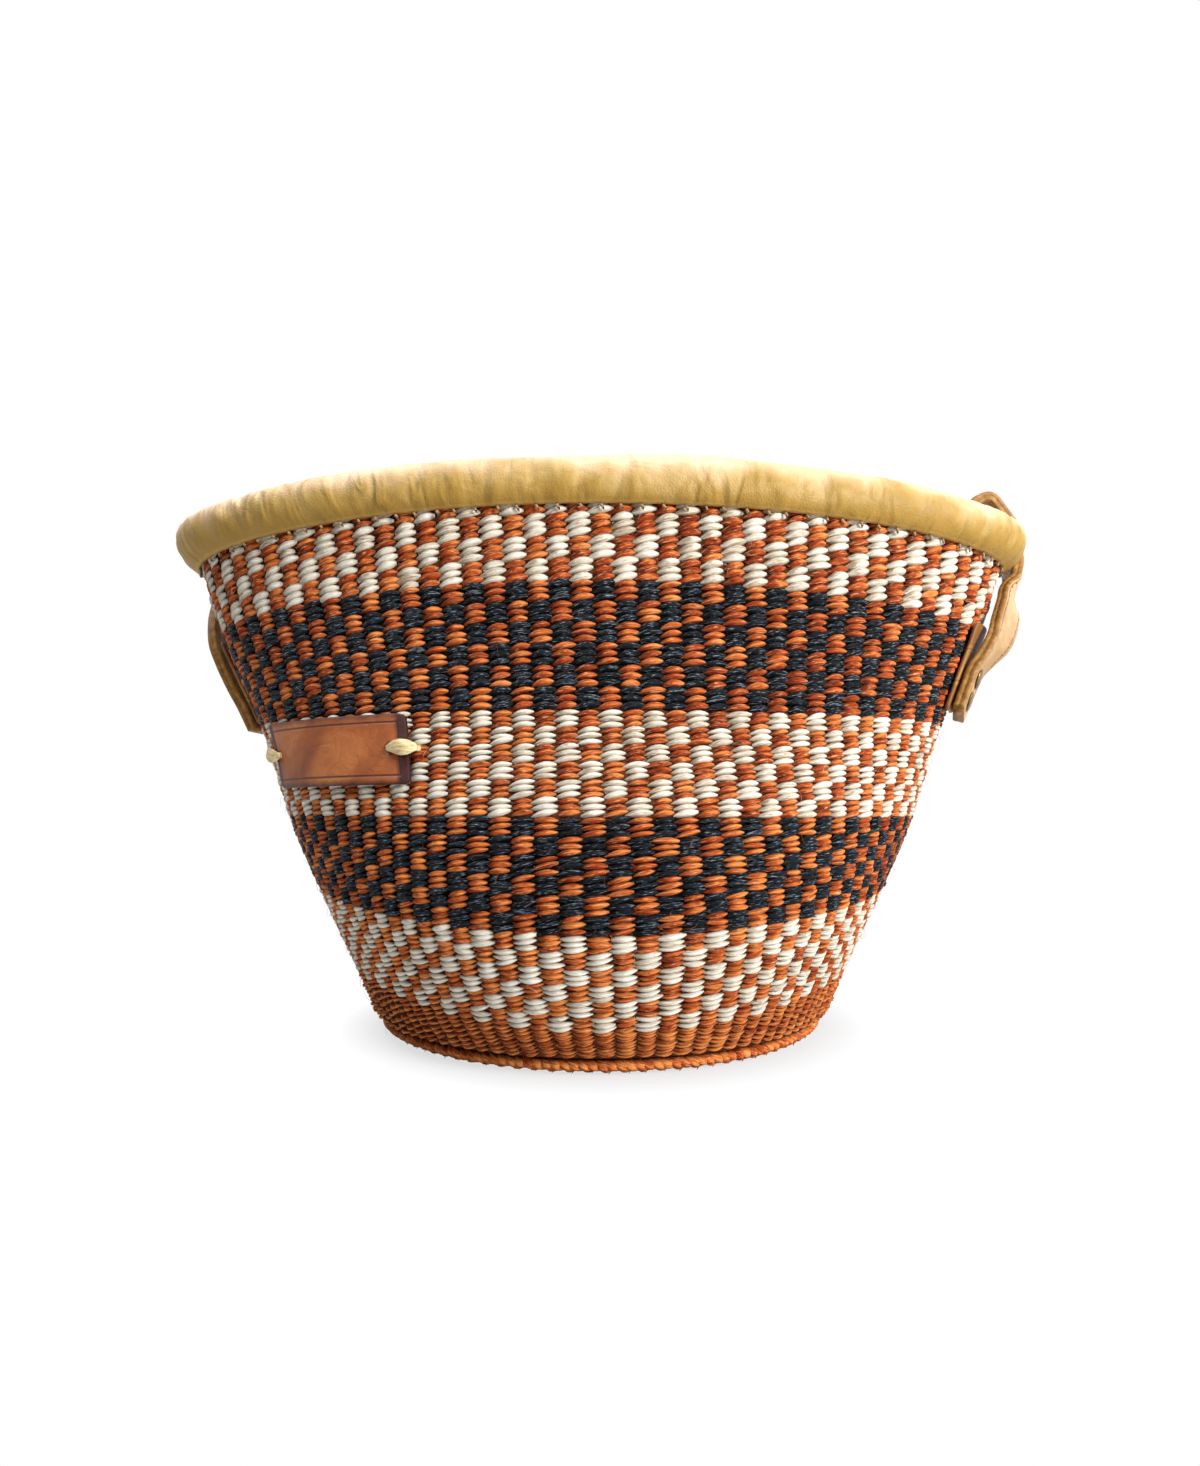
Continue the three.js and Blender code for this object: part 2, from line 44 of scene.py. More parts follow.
# Sizes in millimetres, as the solids have them; meshes are written in metres.
MM = 0.001
WALL = 3.6
SEAT = 0.3
BASE_RADIUS = 63.2
BASE_THICK = 3.4
BRAID = 4.6
FOOT = BRAID / 2 * (1 + math.cos(math.radians(30))) + SEAT
HALF_WIDTHS = np.array([70.2, 76.2, 86, 95.4, 105.3, 119, 127.0])
HALF_DEPTHS = np.array([70.2, 76.2, 86, 81.6, 68.8, 54.4, 48.0])
BAND_HEIGHTS = np.array([7.6, 24, 26.5, 25.6, 34.9, 25.5])
RISES = np.array([0, 9, 7.2, 0, 0.9, -5, -6.2])
LEVELS = np.concatenate([[FOOT], FOOT + np.cumsum(BAND_HEIGHTS)])
WALL_TOP = LEVELS[-1]

ROLL_HIGH = 15.0
ROLL_ACROSS = 12.4
ROLL_LEATHER = 1.5
ROLL_OVERLAP = 4.5
ROLL_ABOVE = ROLL_HIGH / 2 - ROLL_OVERLAP
RIM_LONG = 570.0
WRAP_LOOP = 60.0
WRAP_ROUND = 37.3
BUNDLE_ROUND = 24.0
THREAD = 1.1

LABEL_LONG = 52.0
LABEL_HIGH = 17.8
LABEL_THICK = 1.5
LABEL_MIDDLE = 79.2
LABEL_NEAR = math.radians(243)
LABEL_HOLE = 4.5
THONG_SPAN = 6.4
THONG_THICK = 1.2

STRAP_WIDE = 12.0
STRAP_THICK = 3.2
TAB_WIDE = 12.8
TAB_HIGH = 26.0
TAB_THICK = 1.3
BACKING_WIDE = 14.0
BACKING_HIGH = 22.0
BACKING_THICK = 1.5
BACKING_GAP = 0.5
STRAP_SEAT = SEAT + TAB_THICK + SEAT
STRAP_CENTRE = STRAP_SEAT + STRAP_THICK / 2
ANCHOR_HEIGHTS = {"right": 93.8, "left": 91.5}
ANCHORS = {"right": math.radians(-18), "left": math.radians(179.5)}
RIVET_STEPS = {"lower": 4.2, "upper": 4.2 + 6.6}
STRAP_GAP = 5.2
STRAP_BEND = 10.0
STRAP_JOINT = 0.3
FOLD_REACH = 46.0
FOLD_PITCH = 5.2
FOLD_SHIFTS = [[0, 0], [-2, 1.2], [1.5, -0.8], [-3, 1.4], [0.5, -1], [-1.5, 0.6], [0, 0]]
FOLD_BOTTOM = BASE_THICK + SEAT + STRAP_THICK / 2
LAST_FOLD = len(FOLD_SHIFTS) - 1

# The weave: upright ribs, each crossed by three rows of yarn to a check.
COLUMNS = 100
ROWS = [8, 18, 18, 18, 18, 12]
CHECK_ROWS = 3
# Band by band: its dye, and how much paler its yarn is.
BAND_DYES = ["rust", "cream", "navy", "cream", "navy", "cream"]
PALER = [0.17, 0.10, 0.08, 0.09, 0.05, 0.02]
# Level by level: how much wider the columns are at front and back than at the ends, at the
# front than at the back, and how much narrower at the four quarters.
CROWDING = np.array([-0.02, -0.02, -0.04, -0.1, -0.15, -0.15, -0.15])
FRONT_CROWDING = np.array([0.0, 0.0, 0.0, 0.03, 0.08, 0.14, 0.15])
QUARTER_CROWDING = np.array([0.08, 0.08, 0.07, 0.05, 0.03, 0.02, 0.02])
# Sideways, for each millimetre up from the level where the columns stand true.
LEAN = -0.05
LEAN_FROM = 75.0


def seeded(number):
    return np.random.default_rng(number)


def between(values, level):
    """A smooth value between the levels, by cubic Hermite steps."""
    level = np.asarray(level, float)
    i = np.clip(np.searchsorted(LEVELS, level, side="left") - 1, 0, len(LEVELS) - 2)
    before = np.maximum(np.arange(len(LEVELS)) - 1, 0)
    after = np.minimum(np.arange(len(LEVELS)) + 1, len(LEVELS) - 1)
    slopes = (values[after] - values[before]) / (LEVELS[after] - LEVELS[before])
    step = LEVELS[i + 1] - LEVELS[i]
    t = (level - LEVELS[i]) / step
    h = 1 - t
    smooth = (h * h * (1 + 2 * t) * values[i] + t * h * h * step * slopes[i]
              + t * t * (3 - 2 * t) * values[i + 1] - t * t * h * step * slopes[i + 1])
    beyond = values[i + 1] + slopes[i + 1] * (level - LEVELS[i + 1])
    return np.where(t > 1, beyond, smooth)


def unit(v):
    return v / np.linalg.norm(v, axis=-1, keepdims=True)


def around(count):
    return np.linspace(0, TURN, count, endpoint=False)


def on_circle(turn, radius=1.0, height=0.0):
    return np.stack([radius * np.cos(turn), radius * np.sin(turn), np.full(len(turn), height)], -1)


def gone_along(points):
    """How far along a line of points each one is."""
    return np.concatenate([[0], np.cumsum(np.linalg.norm(np.diff(points, axis=0), axis=1))])


def oval_normal(level, angle):
    x = np.cos(angle) / between(HALF_WIDTHS, level)
    return unit(np.stack([x, np.sin(angle) / between(HALF_DEPTHS, level), np.zeros_like(x)], -1))


def wall_point(level, angle, outward=0.0):
    """A point of the wall: level is its height at the front, outward its distance from the outer face."""
    level, angle, outward = np.broadcast_arrays(
        np.asarray(level, float), np.asarray(angle, float), np.asarray(outward, float))
    height = level + between(RISES, level) * np.cos(angle) ** 2
    x, y = between(HALF_WIDTHS, level) * np.cos(angle), between(HALF_DEPTHS, level) * np.sin(angle)
    return np.stack([x, y, height], -1) + oval_normal(level, angle) * outward[..., None]


def wall_frame(level, angle):
    """Unit ways at a point of the wall: level along it, up its slope, and square out of it."""
    across = np.cross(UP, oval_normal(level, angle))
    slope = unit(wall_point(level + 0.5, angle) - wall_point(level - 0.5, angle))
    return across, slope, np.cross(across, slope)


def level_at(height, angle):
    """The level at which the wall reaches a height above the ground."""
    level = height + 0.0 * np.asarray(angle, float)
    for _ in range(12):
        level = (level + height - between(RISES, level) * np.cos(angle) ** 2) / 2
    return level


def rim_point(angle, outward, above):
    return wall_point(WALL_TOP + ROLL_ABOVE + above, angle, np.asarray(outward, float) - WALL / 2)


def level_across(height, angle):
    return np.cross(UP, oval_normal(level_at(height, angle), angle))


def arc_angles(level, shares):
    """Oval angles that divide the girth at a level evenly; share 0 and 1 are at +X."""
    fine = np.linspace(0, TURN, 1441)
    gone = gone_along(wall_point(level, fine))
    return np.interp(np.mod(shares, 1.0) * gone[-1], gone, fine)


def girth(level):
    return gone_along(wall_point(level, np.linspace(0, TURN, 361)))[-1]


def smooth_noise(seed, waves, reach):
    """A smooth function of points, as a sum of sine waves of seeded directions."""
    rng = seeded(seed)
    ways = unit(rng.normal(size=(waves, 3))) * rng.uniform(0.5, 1.6, (waves, 1)) / reach
    phases = rng.uniform(0, TURN, waves)
    return lambda points: np.sin(points @ ways.T + phases).sum(-1) / math.sqrt(waves)


# Meshes.
def new_mesh(name, points, faces, smooth=True):
    mesh = bpy.data.meshes.new(name)
    metres = (np.asarray(points, float) * MM).tolist()
    mesh.from_pydata(metres, [], [tuple(int(i) for i in face) for face in faces])
    mesh.update()
    if smooth:
        mesh.shade_smooth()
    return mesh


def new_object(name, content, *materials):
    for material in materials:
        content.materials.append(material)
    made = bpy.data.objects.new(name, content)
    SCENE.collection.objects.link(made)
    return made


def grid_faces(rows, columns, rows_closed, columns_closed):
    """Quads over a grid of points whose columns run fastest."""
    i, j = np.meshgrid(
        np.arange(rows if rows_closed else rows - 1),
        np.arange(columns if columns_closed else columns - 1), indexing="ij")
    i, j = i.ravel(), j.ravel()
    ni, nj = (i + 1) % rows, (j + 1) % columns
    return np.stack([i * columns + j, i * columns + nj, ni * columns + nj, ni * columns + j], -1)


def tube_faces(rows, sides, start=0):
    """Quads round a tube of rings of points, and a cap at each end."""
    faces = [tuple(f) for f in grid_faces(rows, sides, False, True) + start]
    last = start + (rows - 1) * sides
    return faces + [tuple(range(start, start + sides))[::-1], tuple(range(last, last + sides))]


def corner_points(mesh):
    corners = np.zeros(len(mesh.loops), np.int32)
    mesh.loops.foreach_get("vertex_index", corners)
    return corners


def set_uvs(mesh, name, pairs):
    mesh.uv_layers.new(name=name).data.foreach_set("uv", np.asarray(pairs, np.float32).ravel())


def face_uvs(mesh, name, pairs):
    """A UV map from one pair of numbers for each point."""
    set_uvs(mesh, name, np.asarray(pairs, np.float32)[corner_points(mesh)])


def swept_ring(name, sections, round_, material):
    """A closed ring of closed sections; its UV map counts up in millimetres, also over its seams."""
    rows, columns = len(sections), len(sections[0])
    mesh = new_mesh(name, np.concatenate(sections), grid_faces(rows, columns, True, True))
    corners = corner_points(mesh).reshape(-1, 4)
    row, column = corners // columns, corners % columns
    for index, count in ((row, rows), (column, columns)):
        at_seam = (index.max(1) == count - 1) & (index.min(1) == 0)
        index[at_seam[:, None] & (index == 0)] = count
    set_uvs(mesh, "flat", np.stack([row * RIM_LONG / rows, column * round_ / columns], -1))
    return new_object(name, mesh, material)


def finish_piece(piece, slot, *nodes):
    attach(piece, "root")
    if nodes:
        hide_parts(*nodes)


# Materials. A colour of three numbers is as seen on a screen; one of four is linear.
def dye(colour):
    def linear(c):
        return c / 12.92 if c <= 0.04045 else ((c + 0.055) / 1.055) ** 2.4

    if isinstance(colour, tuple) and len(colour) == 3:
        return (*map(linear, colour), 1.0)
    return colour


class Nodes:
    """Short calls for adding and joining nodes of one tree."""

    def __init__(self, tree):
        self.tree = tree

    def add(self, kind, inputs=None, **settings):
        node = self.tree.nodes.new(kind)
        for key, value in settings.items():
            setattr(node, key, value)
        for socket, content in (inputs or {}).items():
            self.feed(node, socket, content)
        return node

    def out(self, kind, inputs=None, output=0, **settings):
        return self.add(kind, inputs, **settings).outputs[output]

    def feed(self, node, socket, content):
        target = node.inputs[socket]
        if isinstance(content, bpy.types.NodeSocket):
            self.tree.links.new(content, target)
        else:
            target.default_value = content

    def math(self, operation, *values, clamp=False):
        return self.out("ShaderNodeMath", dict(enumerate(values)), operation=operation, use_clamp=clamp)

    def plus(self, a, b):
        return self.math("ADD", a, b)

    def minus(self, a, b):
        return self.math("SUBTRACT", a, b)

    def times(self, a, b):
        return self.math("MULTIPLY", a, b)

    def apart(self, a, b):
        return self.math("ABSOLUTE", self.minus(a, b))

    def vector(self, operation, a, b=(0, 0, 0), output=0):
        return self.out("ShaderNodeVectorMath", {0: a, 1: b}, output, operation=operation)

    def triple(self, x, y, z):
        return self.out("ShaderNodeCombineXYZ", {0: x, 1: y, 2: z})

    def parts(self, vector):
        return self.add("ShaderNodeSeparateXYZ", {0: vector}).outputs

    def place(self):
        return self.out("ShaderNodeTexCoord", output="Object")

    def uv(self, name):
        return self.out("ShaderNodeUVMap", uv_map=name)

    def attribute(self, name):
        return self.out("ShaderNodeAttribute", output="Fac", attribute_name=name)

    def group(self, tree, inputs):
        return self.add("ShaderNodeGroup", inputs, node_tree=tree).outputs

    def mix(self, factor, a, b):
        return self.out("ShaderNodeMix", {0: factor, 6: dye(a), 7: dye(b)}, 2, data_type="RGBA")

    def noise(self, vector, scale, detail=3.0, rough=0.5, warp=0.0):
        return self.out("ShaderNodeTexNoise", {
            "Vector": vector, "Scale": scale, "Detail": detail, "Roughness": rough, "Distortion": warp})

    def stretch(self, vector, scale, turn=0.0):
        return self.out("ShaderNodeMapping", {
            "Vector": vector, "Rotation": (0.0, 0.0, turn), "Scale": scale})

    def ramp(self, factor, *stops):
        node = self.add("ShaderNodeValToRGB", {"Fac": factor})
        band = node.color_ramp
        while len(band.elements) < len(stops):
            band.elements.new(0.5)
        for element, (place, colour) in zip(band.elements, stops):
            element.position = place
            element.color = dye(colour)
        return node.outputs["Color"]

    def span(self, value, low, high, to_low=0.0, to_high=1.0):
        return self.out("ShaderNodeMapRange", {
            "Value": value, "From Min": low, "From Max": high, "To Min": to_low, "To Max": to_high})


class Surface(Nodes):
    """The nodes of a new material and its Principled shader."""

    def __init__(self, name):
        self.material = bpy.data.materials.new(name)
        self.material.use_nodes = True
        super().__init__(self.material.node_tree)
        self.shader = self.tree.nodes["Principled BSDF"]

    def grain(self, pores, creases, mottles):
        return self.group(GRAIN, {
            "Place": self.place(), "Pore Scale": pores, "Crease Scale": creases, "Mottle Scale": mottles})

    def finish(self, colour, rough, height, strength, deep, shine=0.5):
        """Joins a colour, a roughness and a bump from height to the shader."""
        bump = self.out("ShaderNodeBump", {"Strength": strength, "Distance": deep, "Height": height})
        for socket, content in {"Base Color": colour, "Roughness": rough, "Specular IOR Level": shine,
                                "Normal": bump}.items():
            self.feed(self.shader, socket, content)
        return self.material


def shader_group(name, vector, numbers, outputs):
    """A group with one vector and some numbers going in, and numbers coming out."""
    tree = bpy.data.node_groups.new(name, "ShaderNodeTree")
    tree.interface.new_socket(vector, in_out="INPUT", socket_type="NodeSocketVector")
    for direction, sockets in (("INPUT", numbers), ("OUTPUT", outputs)):
        for socket in sockets:
            tree.interface.new_socket(socket, in_out=direction, socket_type="NodeSocketFloat")
    n = Nodes(tree)
    return n, n.add("NodeGroupInput").outputs, n.add("NodeGroupOutput")


def fibre_group():
    """Fibres that run along a yarn: U is the length along it and V the way round it."""
    n, given, result = shader_group("sisal fibres", "Along", ["Fineness"], ["Height", "Fleck"])
    along, fineness = given["Along"], given["Fineness"]
    fine = n.noise(n.stretch(along, (0.35, 0.95, 1.0)), fineness, 3.0, 0.65, 0.5)
    coarse = n.noise(n.stretch(along, (0.7, 1.5, 1.0)), 2.6, 2.0, 0.5, 0.8)
    fleck = n.noise(n.stretch(along, (0.5, 1.3, 1.0)), n.times(fineness, 0.9), 2.0, 0.6)
    n.feed(result, "Height", n.plus(n.times(fine, 0.6), n.times(coarse, 0.4)))
    n.feed(result, "Fleck", n.span(fleck, 0.58, 0.68))
    return n.tree


def grain_group():
    """Leather grain: pores, creases and broad mottling."""
    n, given, result = shader_group(
        "leather grain", "Place", ["Pore Scale", "Crease Scale", "Mottle Scale"],
        ["Height", "Mottle", "Crease"])
    place = given["Place"]
    pores = n.out("ShaderNodeTexVoronoi", {"Vector": place, "Scale": given["Pore Scale"], "Randomness": 1.0},
                  "Distance", feature="DISTANCE_TO_EDGE")
    crease = n.span(n.apart(n.noise(place, given["Crease Scale"], 4.0, 0.55, 1.2), 0.5), 0.0, 0.09)
    n.feed(result, "Height", n.plus(n.times(n.span(pores, 0.0, 0.25), 0.35), n.times(crease, 0.65)))
    n.feed(result, "Mottle", n.noise(place, given["Mottle Scale"], 3.0, 0.5, 0.6))
    n.feed(result, "Crease", n.minus(1.0, crease))
    return n.tree


FIBRES = fibre_group()
GRAIN = grain_group()


def yarn_material(name, shadow, body, light, fleck, flecks, fineness, rough):
    """Sisal yarn: a tint for each strand, painted shade where it sinks at its edges and ends behind a rib, a
    painted gradient of light along it, and fibres along it.
    """
    n = Surface(name)
    along, tint = n.uv("yarn"), n.attribute("tint")
    shift = n.times(tint, 37.0)
    moved = n.vector("ADD", along, n.triple(shift, shift, shift))
    fibres = n.group(FIBRES, {"Along": moved, "Fineness": fineness})
    u, v, _ = n.parts(along)
    # Painted light: each strand is darker at its left end and lighter at its right, as the light falls from
    # the right; the tint is the strand's own dye.
    strand = n.plus(tint, n.times(n.minus(u, 0.5), 0.55))
    streaked = n.plus(strand, n.times(n.minus(fibres["Height"], 0.5), 2.6))
    # Painted shade: the strand's edges and ends, where it sinks between its neighbours and behind the ribs,
    # are mixed towards the shadow tone.
    edge = n.span(n.times(n.apart(v, 0.5), 2.0), 0.1, 0.9)
    end = n.math("POWER", n.times(n.apart(u, 0.52), 2.0), 3.0)
    painted_recess_shade = n.math("ADD", n.times(edge, 0.7), n.times(end, 0.7), clamp=True)
    colour = n.mix(painted_recess_shade, n.ramp(streaked, (0.0, shadow), (0.48, body), (1.0, light)), shadow)
    colour = n.mix(n.times(fibres["Fleck"], flecks), colour, fleck)
    return n.finish(colour, rough, fibres["Height"], 0.9, 0.0006, 0.08)


def rib_material():
    """The upright ribs seen deep between the yarns, coloured in painted shade: dark brown, and near black in
    the navy bands.
    """
    n = Surface("shaded ribs")
    threads = n.noise(n.stretch(n.place(), (1.0, 1.0, 0.12)), 900.0, 3.0, 0.6)
    # Painted shade: the ribs are far darker than bare sisal, darkest in the navy bands, as the gaps fall in
    # shade.
    painted_shade_sisal = n.ramp(threads, (0.3, (0.22, 0.11, 0.06)), (0.7, (0.42, 0.25, 0.15)))
    dark = n.ramp(threads, (0.3, (0.03, 0.02, 0.02)), (0.7, (0.09, 0.06, 0.05)))
    return n.finish(n.mix(n.attribute("by navy"), painted_shade_sisal, dark), 0.9, threads, 0.5, 0.0003, 0.05)


def bare_sisal_material():
    """The undyed ends that fill the rim."""
    n = Surface("bare sisal")
    height = n.group(FIBRES, {"Along": n.stretch(n.uv("flat"), (0.2, 1.2, 1.0)), "Fineness": 3.0})["Height"]
    colour = n.ramp(height, (0.3, (0.62, 0.54, 0.38)), (0.7, (0.88, 0.82, 0.67)))
    return n.finish(colour, 0.7, height, 0.6, 0.0006)


def goatskin_material():
    """Soft mustard goatskin with a painted peach highlight on its upper side, painted shade low down and in
    its creases, and a pale cut edge.
    """
    n = Surface("rim goatskin")
    flat = n.uv("flat")
    grain = n.grain(1100.0, 42.0, 30.0)
    broad = n.noise(n.stretch(n.place(), (1.0, 1.0, 2.2)), 24.0, 3.0, 0.55, 0.8)
    spots = n.noise(flat, 0.13, 4.0, 0.6, 1.0)
    folds = n.noise(n.stretch(flat, (0.15, 0.045, 1.0), 0.7), 1.0, 2.0, 0.5, 0.4)
    way_round = n.parts(flat)[1]
    from_end = n.math("MINIMUM", way_round, n.apart(WRAP_ROUND, way_round))
    uneven = n.plus(from_end, n.plus(n.span(broad, 0.3, 0.7, -3.0, 3.0), n.span(folds, 0.3, 0.7, -2.0, 2.0)))
    tan = n.ramp(spots, (0.3, (0.66, 0.52, 0.26)), (0.5, (0.80, 0.67, 0.41)), (0.7, (0.87, 0.76, 0.53)))
    # Painted highlight: a peach sheen on broad patches of the upper side, where the light falls.
    peach = n.times(n.span(broad, 0.36, 0.58, 0.6, 1.0), n.span(uneven, 8.0, 14.0))
    painted_highlight = n.mix(peach, tan, (0.94, 0.80, 0.65))
    # Painted shade: darker ochre low down on the roll, where the light does not reach.
    lower = n.mix(n.span(uneven, 4.0, 14.5, 0.95, 0.0), painted_highlight, (0.63, 0.49, 0.19))
    some = n.span(n.noise(flat, 0.03, 1.0), 0.5, 0.62)
    crease = n.times(n.span(n.apart(folds, 0.5), 0.0, 0.08, 1.0, 0.0), some)
    # Painted shade: a slight darkening in some of the creases.
    painted_shade_skin = n.mix(n.times(crease, 0.12), lower, (0.56, 0.42, 0.18))
    colour = n.mix(n.span(from_end, 0.5, 1.6, 0.35, 0.0), painted_shade_skin, (0.88, 0.74, 0.46))
    height = n.minus(n.plus(n.times(grain["Height"], 0.2), n.times(folds, 4.2)), n.times(crease, 0.3))
    return n.finish(colour, n.span(grain["Mottle"], 0.3, 0.7, 0.6, 0.45), height, 0.7, 0.0009, 0.3)


def edged_leather(name, dark, body, light, burn, edge_width, long, high, groove, hole=None, shine=0.3):
    """Flat cut leather, burnt at its edges, with a creased border; its UV map counts mm from its middle."""
    n = Surface(name)
    grain = n.grain(1500.0, 130.0, 55.0)
    x, y, _ = n.parts(n.uv("flat"))
    inside = n.minus(high / 2, n.math("ABSOLUTE", y))
    if long:
        lengthwise = n.minus(long / 2, n.math("ABSOLUTE", x))
        inside = n.math("MINIMUM", lengthwise, inside)
    wobble = n.times(n.minus(n.noise(n.place(), 260.0), 0.5), edge_width)
    worn = n.ramp(grain["Mottle"], (0.28, dark), (0.5, body), (0.74, light))
    creased = n.mix(n.times(grain["Crease"], 0.25), worn, dark)
    burnt = n.mix(n.span(n.plus(inside, wobble), 0.0, edge_width, 1.0, 0.0), creased, burn)
    line = n.span(n.apart(inside, groove), 0.1, 0.4, 1.0, 0.0)
    if long:
        burnt = n.mix(n.span(n.plus(lengthwise, wobble), 2.0, 3.4, 0.95, 0.0), burnt, burn)
    if hole is not None:
        from_hole = n.vector("DISTANCE", n.triple(x, y, 0.0), (hole, 0.0, 0.0), "Value")
        line = n.math("MAXIMUM", line, n.span(from_hole, 1.3, 2.1, 1.0, 0.0))
    height = n.minus(n.times(grain["Height"], 0.5), line)
    return n.finish(n.mix(n.times(line, 0.85), burnt, burn), 0.48, height, 0.5, 0.0003, shine)


def strap_edge_material():
    """The strap's cut edge: two layers under an edge dressing."""
    n = Surface("strap edge dressing")
    streaks = n.noise(n.place(), 700.0, 4.0, 0.6)
    colour = n.ramp(
        streaks, (0.3, (0.46, 0.31, 0.13)), (0.55, (0.64, 0.46, 0.22)), (0.8, (0.77, 0.60, 0.34)))
    return n.finish(colour, 0.5, streaks, 0.3, 0.0002, 0.25)


def thread_material(name, low, high):
    n = Surface(name)
    ply = n.out("ShaderNodeTexWave", {
        "Vector": n.stretch(n.uv("yarn"), (3.0, 1.0, 1.0)), "Scale": 3.0, "Distortion": 1.0, "Detail": 2.0},
        "Fac", wave_type="BANDS", bands_direction="DIAGONAL")
    return n.finish(n.ramp(ply, (0.1, low), (0.8, high)), 0.7, ply, 0.5, 0.0002)


def hide_material():
    """Pale untanned thong hide with fine lengthwise creases."""
    n = Surface("thong hide")
    creases = n.noise(n.stretch(n.place(), (1.0, 1.0, 4.0)), 420.0, 4.0, 0.6)
    colour = n.ramp(
        creases, (0.3, (0.70, 0.57, 0.36)), (0.55, (0.89, 0.80, 0.60)), (0.8, (0.96, 0.91, 0.77)))
    return n.finish(colour, 0.55, creases, 0.4, 0.0003)


def brass_material():
    """Rivet brass, dulled and finely scratched."""
    n = Surface("rivet brass")
    place = n.place()
    dull = n.noise(place, 500.0, 4.0, 0.6)
    scratches = n.noise(n.stretch(place, (1.0, 8.0, 1.0)), 1500.0, 2.0, 0.6)
    n.feed(n.shader, "Metallic", 1.0)
    colour = n.ramp(dull, (0.35, (0.45, 0.33, 0.18)), (0.65, (0.66, 0.52, 0.31)))
    return n.finish(colour, n.span(dull, 0.3, 0.7, 0.42, 0.24), scratches, 0.12, 0.0001)


RUST_YARN = yarn_material(
    "rust sisal yarn", (0.28, 0.07, 0.04), (0.66, 0.27, 0.11), (0.93, 0.57, 0.29),
    (0.98, 0.78, 0.56), 0.5, 8.0, 0.65)
CREAM_YARN = yarn_material(
    "cream sisal yarn", (0.60, 0.50, 0.39), (0.86, 0.83, 0.76), (0.94, 0.93, 0.89),
    (0.99, 0.98, 0.96), 0.6, 8.0, 0.62)
NAVY_YARN = yarn_material(
    "navy sisal yarn", (0.012, 0.014, 0.015), (0.035, 0.048, 0.062), (0.10, 0.13, 0.165),
    (0.58, 0.63, 0.68), 0.8, 10.0, 0.55)
DYES = {"rust": (RUST_YARN, "rust_sisal"), "cream": (CREAM_YARN, "cream_check_sisal"),
        "navy": (NAVY_YARN, "navy_check_sisal")}
RIBS = rib_material()
BARE_SISAL = bare_sisal_material()
GOATSKIN = goatskin_material()
LABEL_LEATHER = edged_leather(
    "label leather", (0.46, 0.23, 0.12), (0.66, 0.37, 0.19), (0.80, 0.50, 0.28), (0.20, 0.09, 0.09),
    1.5, LABEL_LONG, LABEL_HIGH, 2.2, LABEL_LONG / 2 - LABEL_HOLE, 0.2)
STRAP_LEATHER = edged_leather(
    "strap leather", (0.61, 0.46, 0.30), (0.73, 0.59, 0.42), (0.83, 0.71, 0.55), (0.49, 0.33, 0.17),
    0.8, 0, STRAP_WIDE, 1.5)
TAB_LEATHER = edged_leather(
    "tab leather", (0.54, 0.36, 0.18), (0.68, 0.49, 0.27), (0.78, 0.60, 0.36), (0.52, 0.34, 0.17),
    0.9, TAB_HIGH, TAB_WIDE, 1.6)
STRAP_EDGE = strap_edge_material()
RIM_THREAD = thread_material("rim thread", (0.58, 0.45, 0.30), (0.76, 0.64, 0.48))
STRAP_THREAD = thread_material("strap thread", (0.60, 0.44, 0.27), (0.80, 0.66, 0.46))
THONG_HIDE = hide_material()
BRASS = brass_material()


# Strands, fibres and stitches, set on points by Geometry Nodes. Each template lies along X, one unit
# long, with its outer side towards -Y.
def spindle(name, places, middles, radii, sides, tail, tip):
    """A closed spindle from sections at the given places, with a point at each end."""
    turn = around(sides)
    sections = len(places)
    rings = [np.stack([np.full(sides, place - 0.5), deep - r * np.sin(turn), sway + r * np.cos(turn)], -1)
             for place, (deep, sway), r in zip(places, middles, radii)]
    faces = [tuple(f) for f in grid_faces(sections, sides, False, True)[:, ::-1]]
    end = sections * sides
    last = end - sides
    for j in range(sides):
        k = (j + 1) % sides
        faces += [(end, k, j), (end + 1, last + j, last + k)]
    mesh = new_mesh(name, np.concatenate([*rings, [tail], [tip]]) / MM, faces)
    along = np.concatenate([np.repeat(places, sides), [0.0, 1.0]])
    across = np.abs(np.linspace(-1, 1, sides, endpoint=False))
    way_round = np.concatenate([np.tile(across, sections), [0.5, 0.5]])
    face_uvs(mesh, "yarn", np.stack([along, way_round], -1))
    made = new_object(name, mesh)
    made.hide_render = True
    return made


def strand_template(name, sections, sides):
    """One strand over one rib: it rises from behind the rib before and ends in a point on the right."""
    places = np.linspace(0.0, 1.0, sections + 2)[1:-1]
    crest = 0.54
    before, past = np.maximum(1 - places / crest, 0), np.maximum(places - crest, 0) / (1 - crest)
    deep = np.where(places < crest, 1.1 * before ** 2.0, 0.75 * past ** 2.4)
    sway = 0.16 * (places - 0.5) + 0.05 * np.sin(math.pi * places)
    swell = np.sin(math.pi * places ** 1.06) ** 1.05
    return spindle(name, places, np.stack([deep, sway], -1), 0.5 * swell, sides,
                   [-0.53, 1.25, -0.1], [0.53, 0.85, 0.08])


def fibre_template(name, bow, curl):
    """A thin stray fibre that lifts off the yarn and bends over."""
    places = np.linspace(0.0, 1.0, 7)[1:-1]
    middles = np.stack([-bow * np.sin(0.5 * math.pi * places), curl * np.sin(math.pi * places * 1.4)], -1)
    return spindle(name, places, middles, np.linspace(0.011, 0.006, 5), 3,
                   [-0.5, 0.03, 0.0], [0.5, -bow, curl * math.sin(1.4 * math.pi)])


def stitch_template(name):
    """A stitch that comes up, lies on the leather and goes down again."""
    places = np.linspace(0.0, 1.0, 6)[1:-1]
    deep = 0.75 * np.abs(2 * places - 1) ** 3
    return spindle(name, places, np.stack([deep, 0 * places], -1), np.full(4, 0.5), 5,
                   [-0.5, 1.2, 0.0], [0.5, 1.2, 0.0])


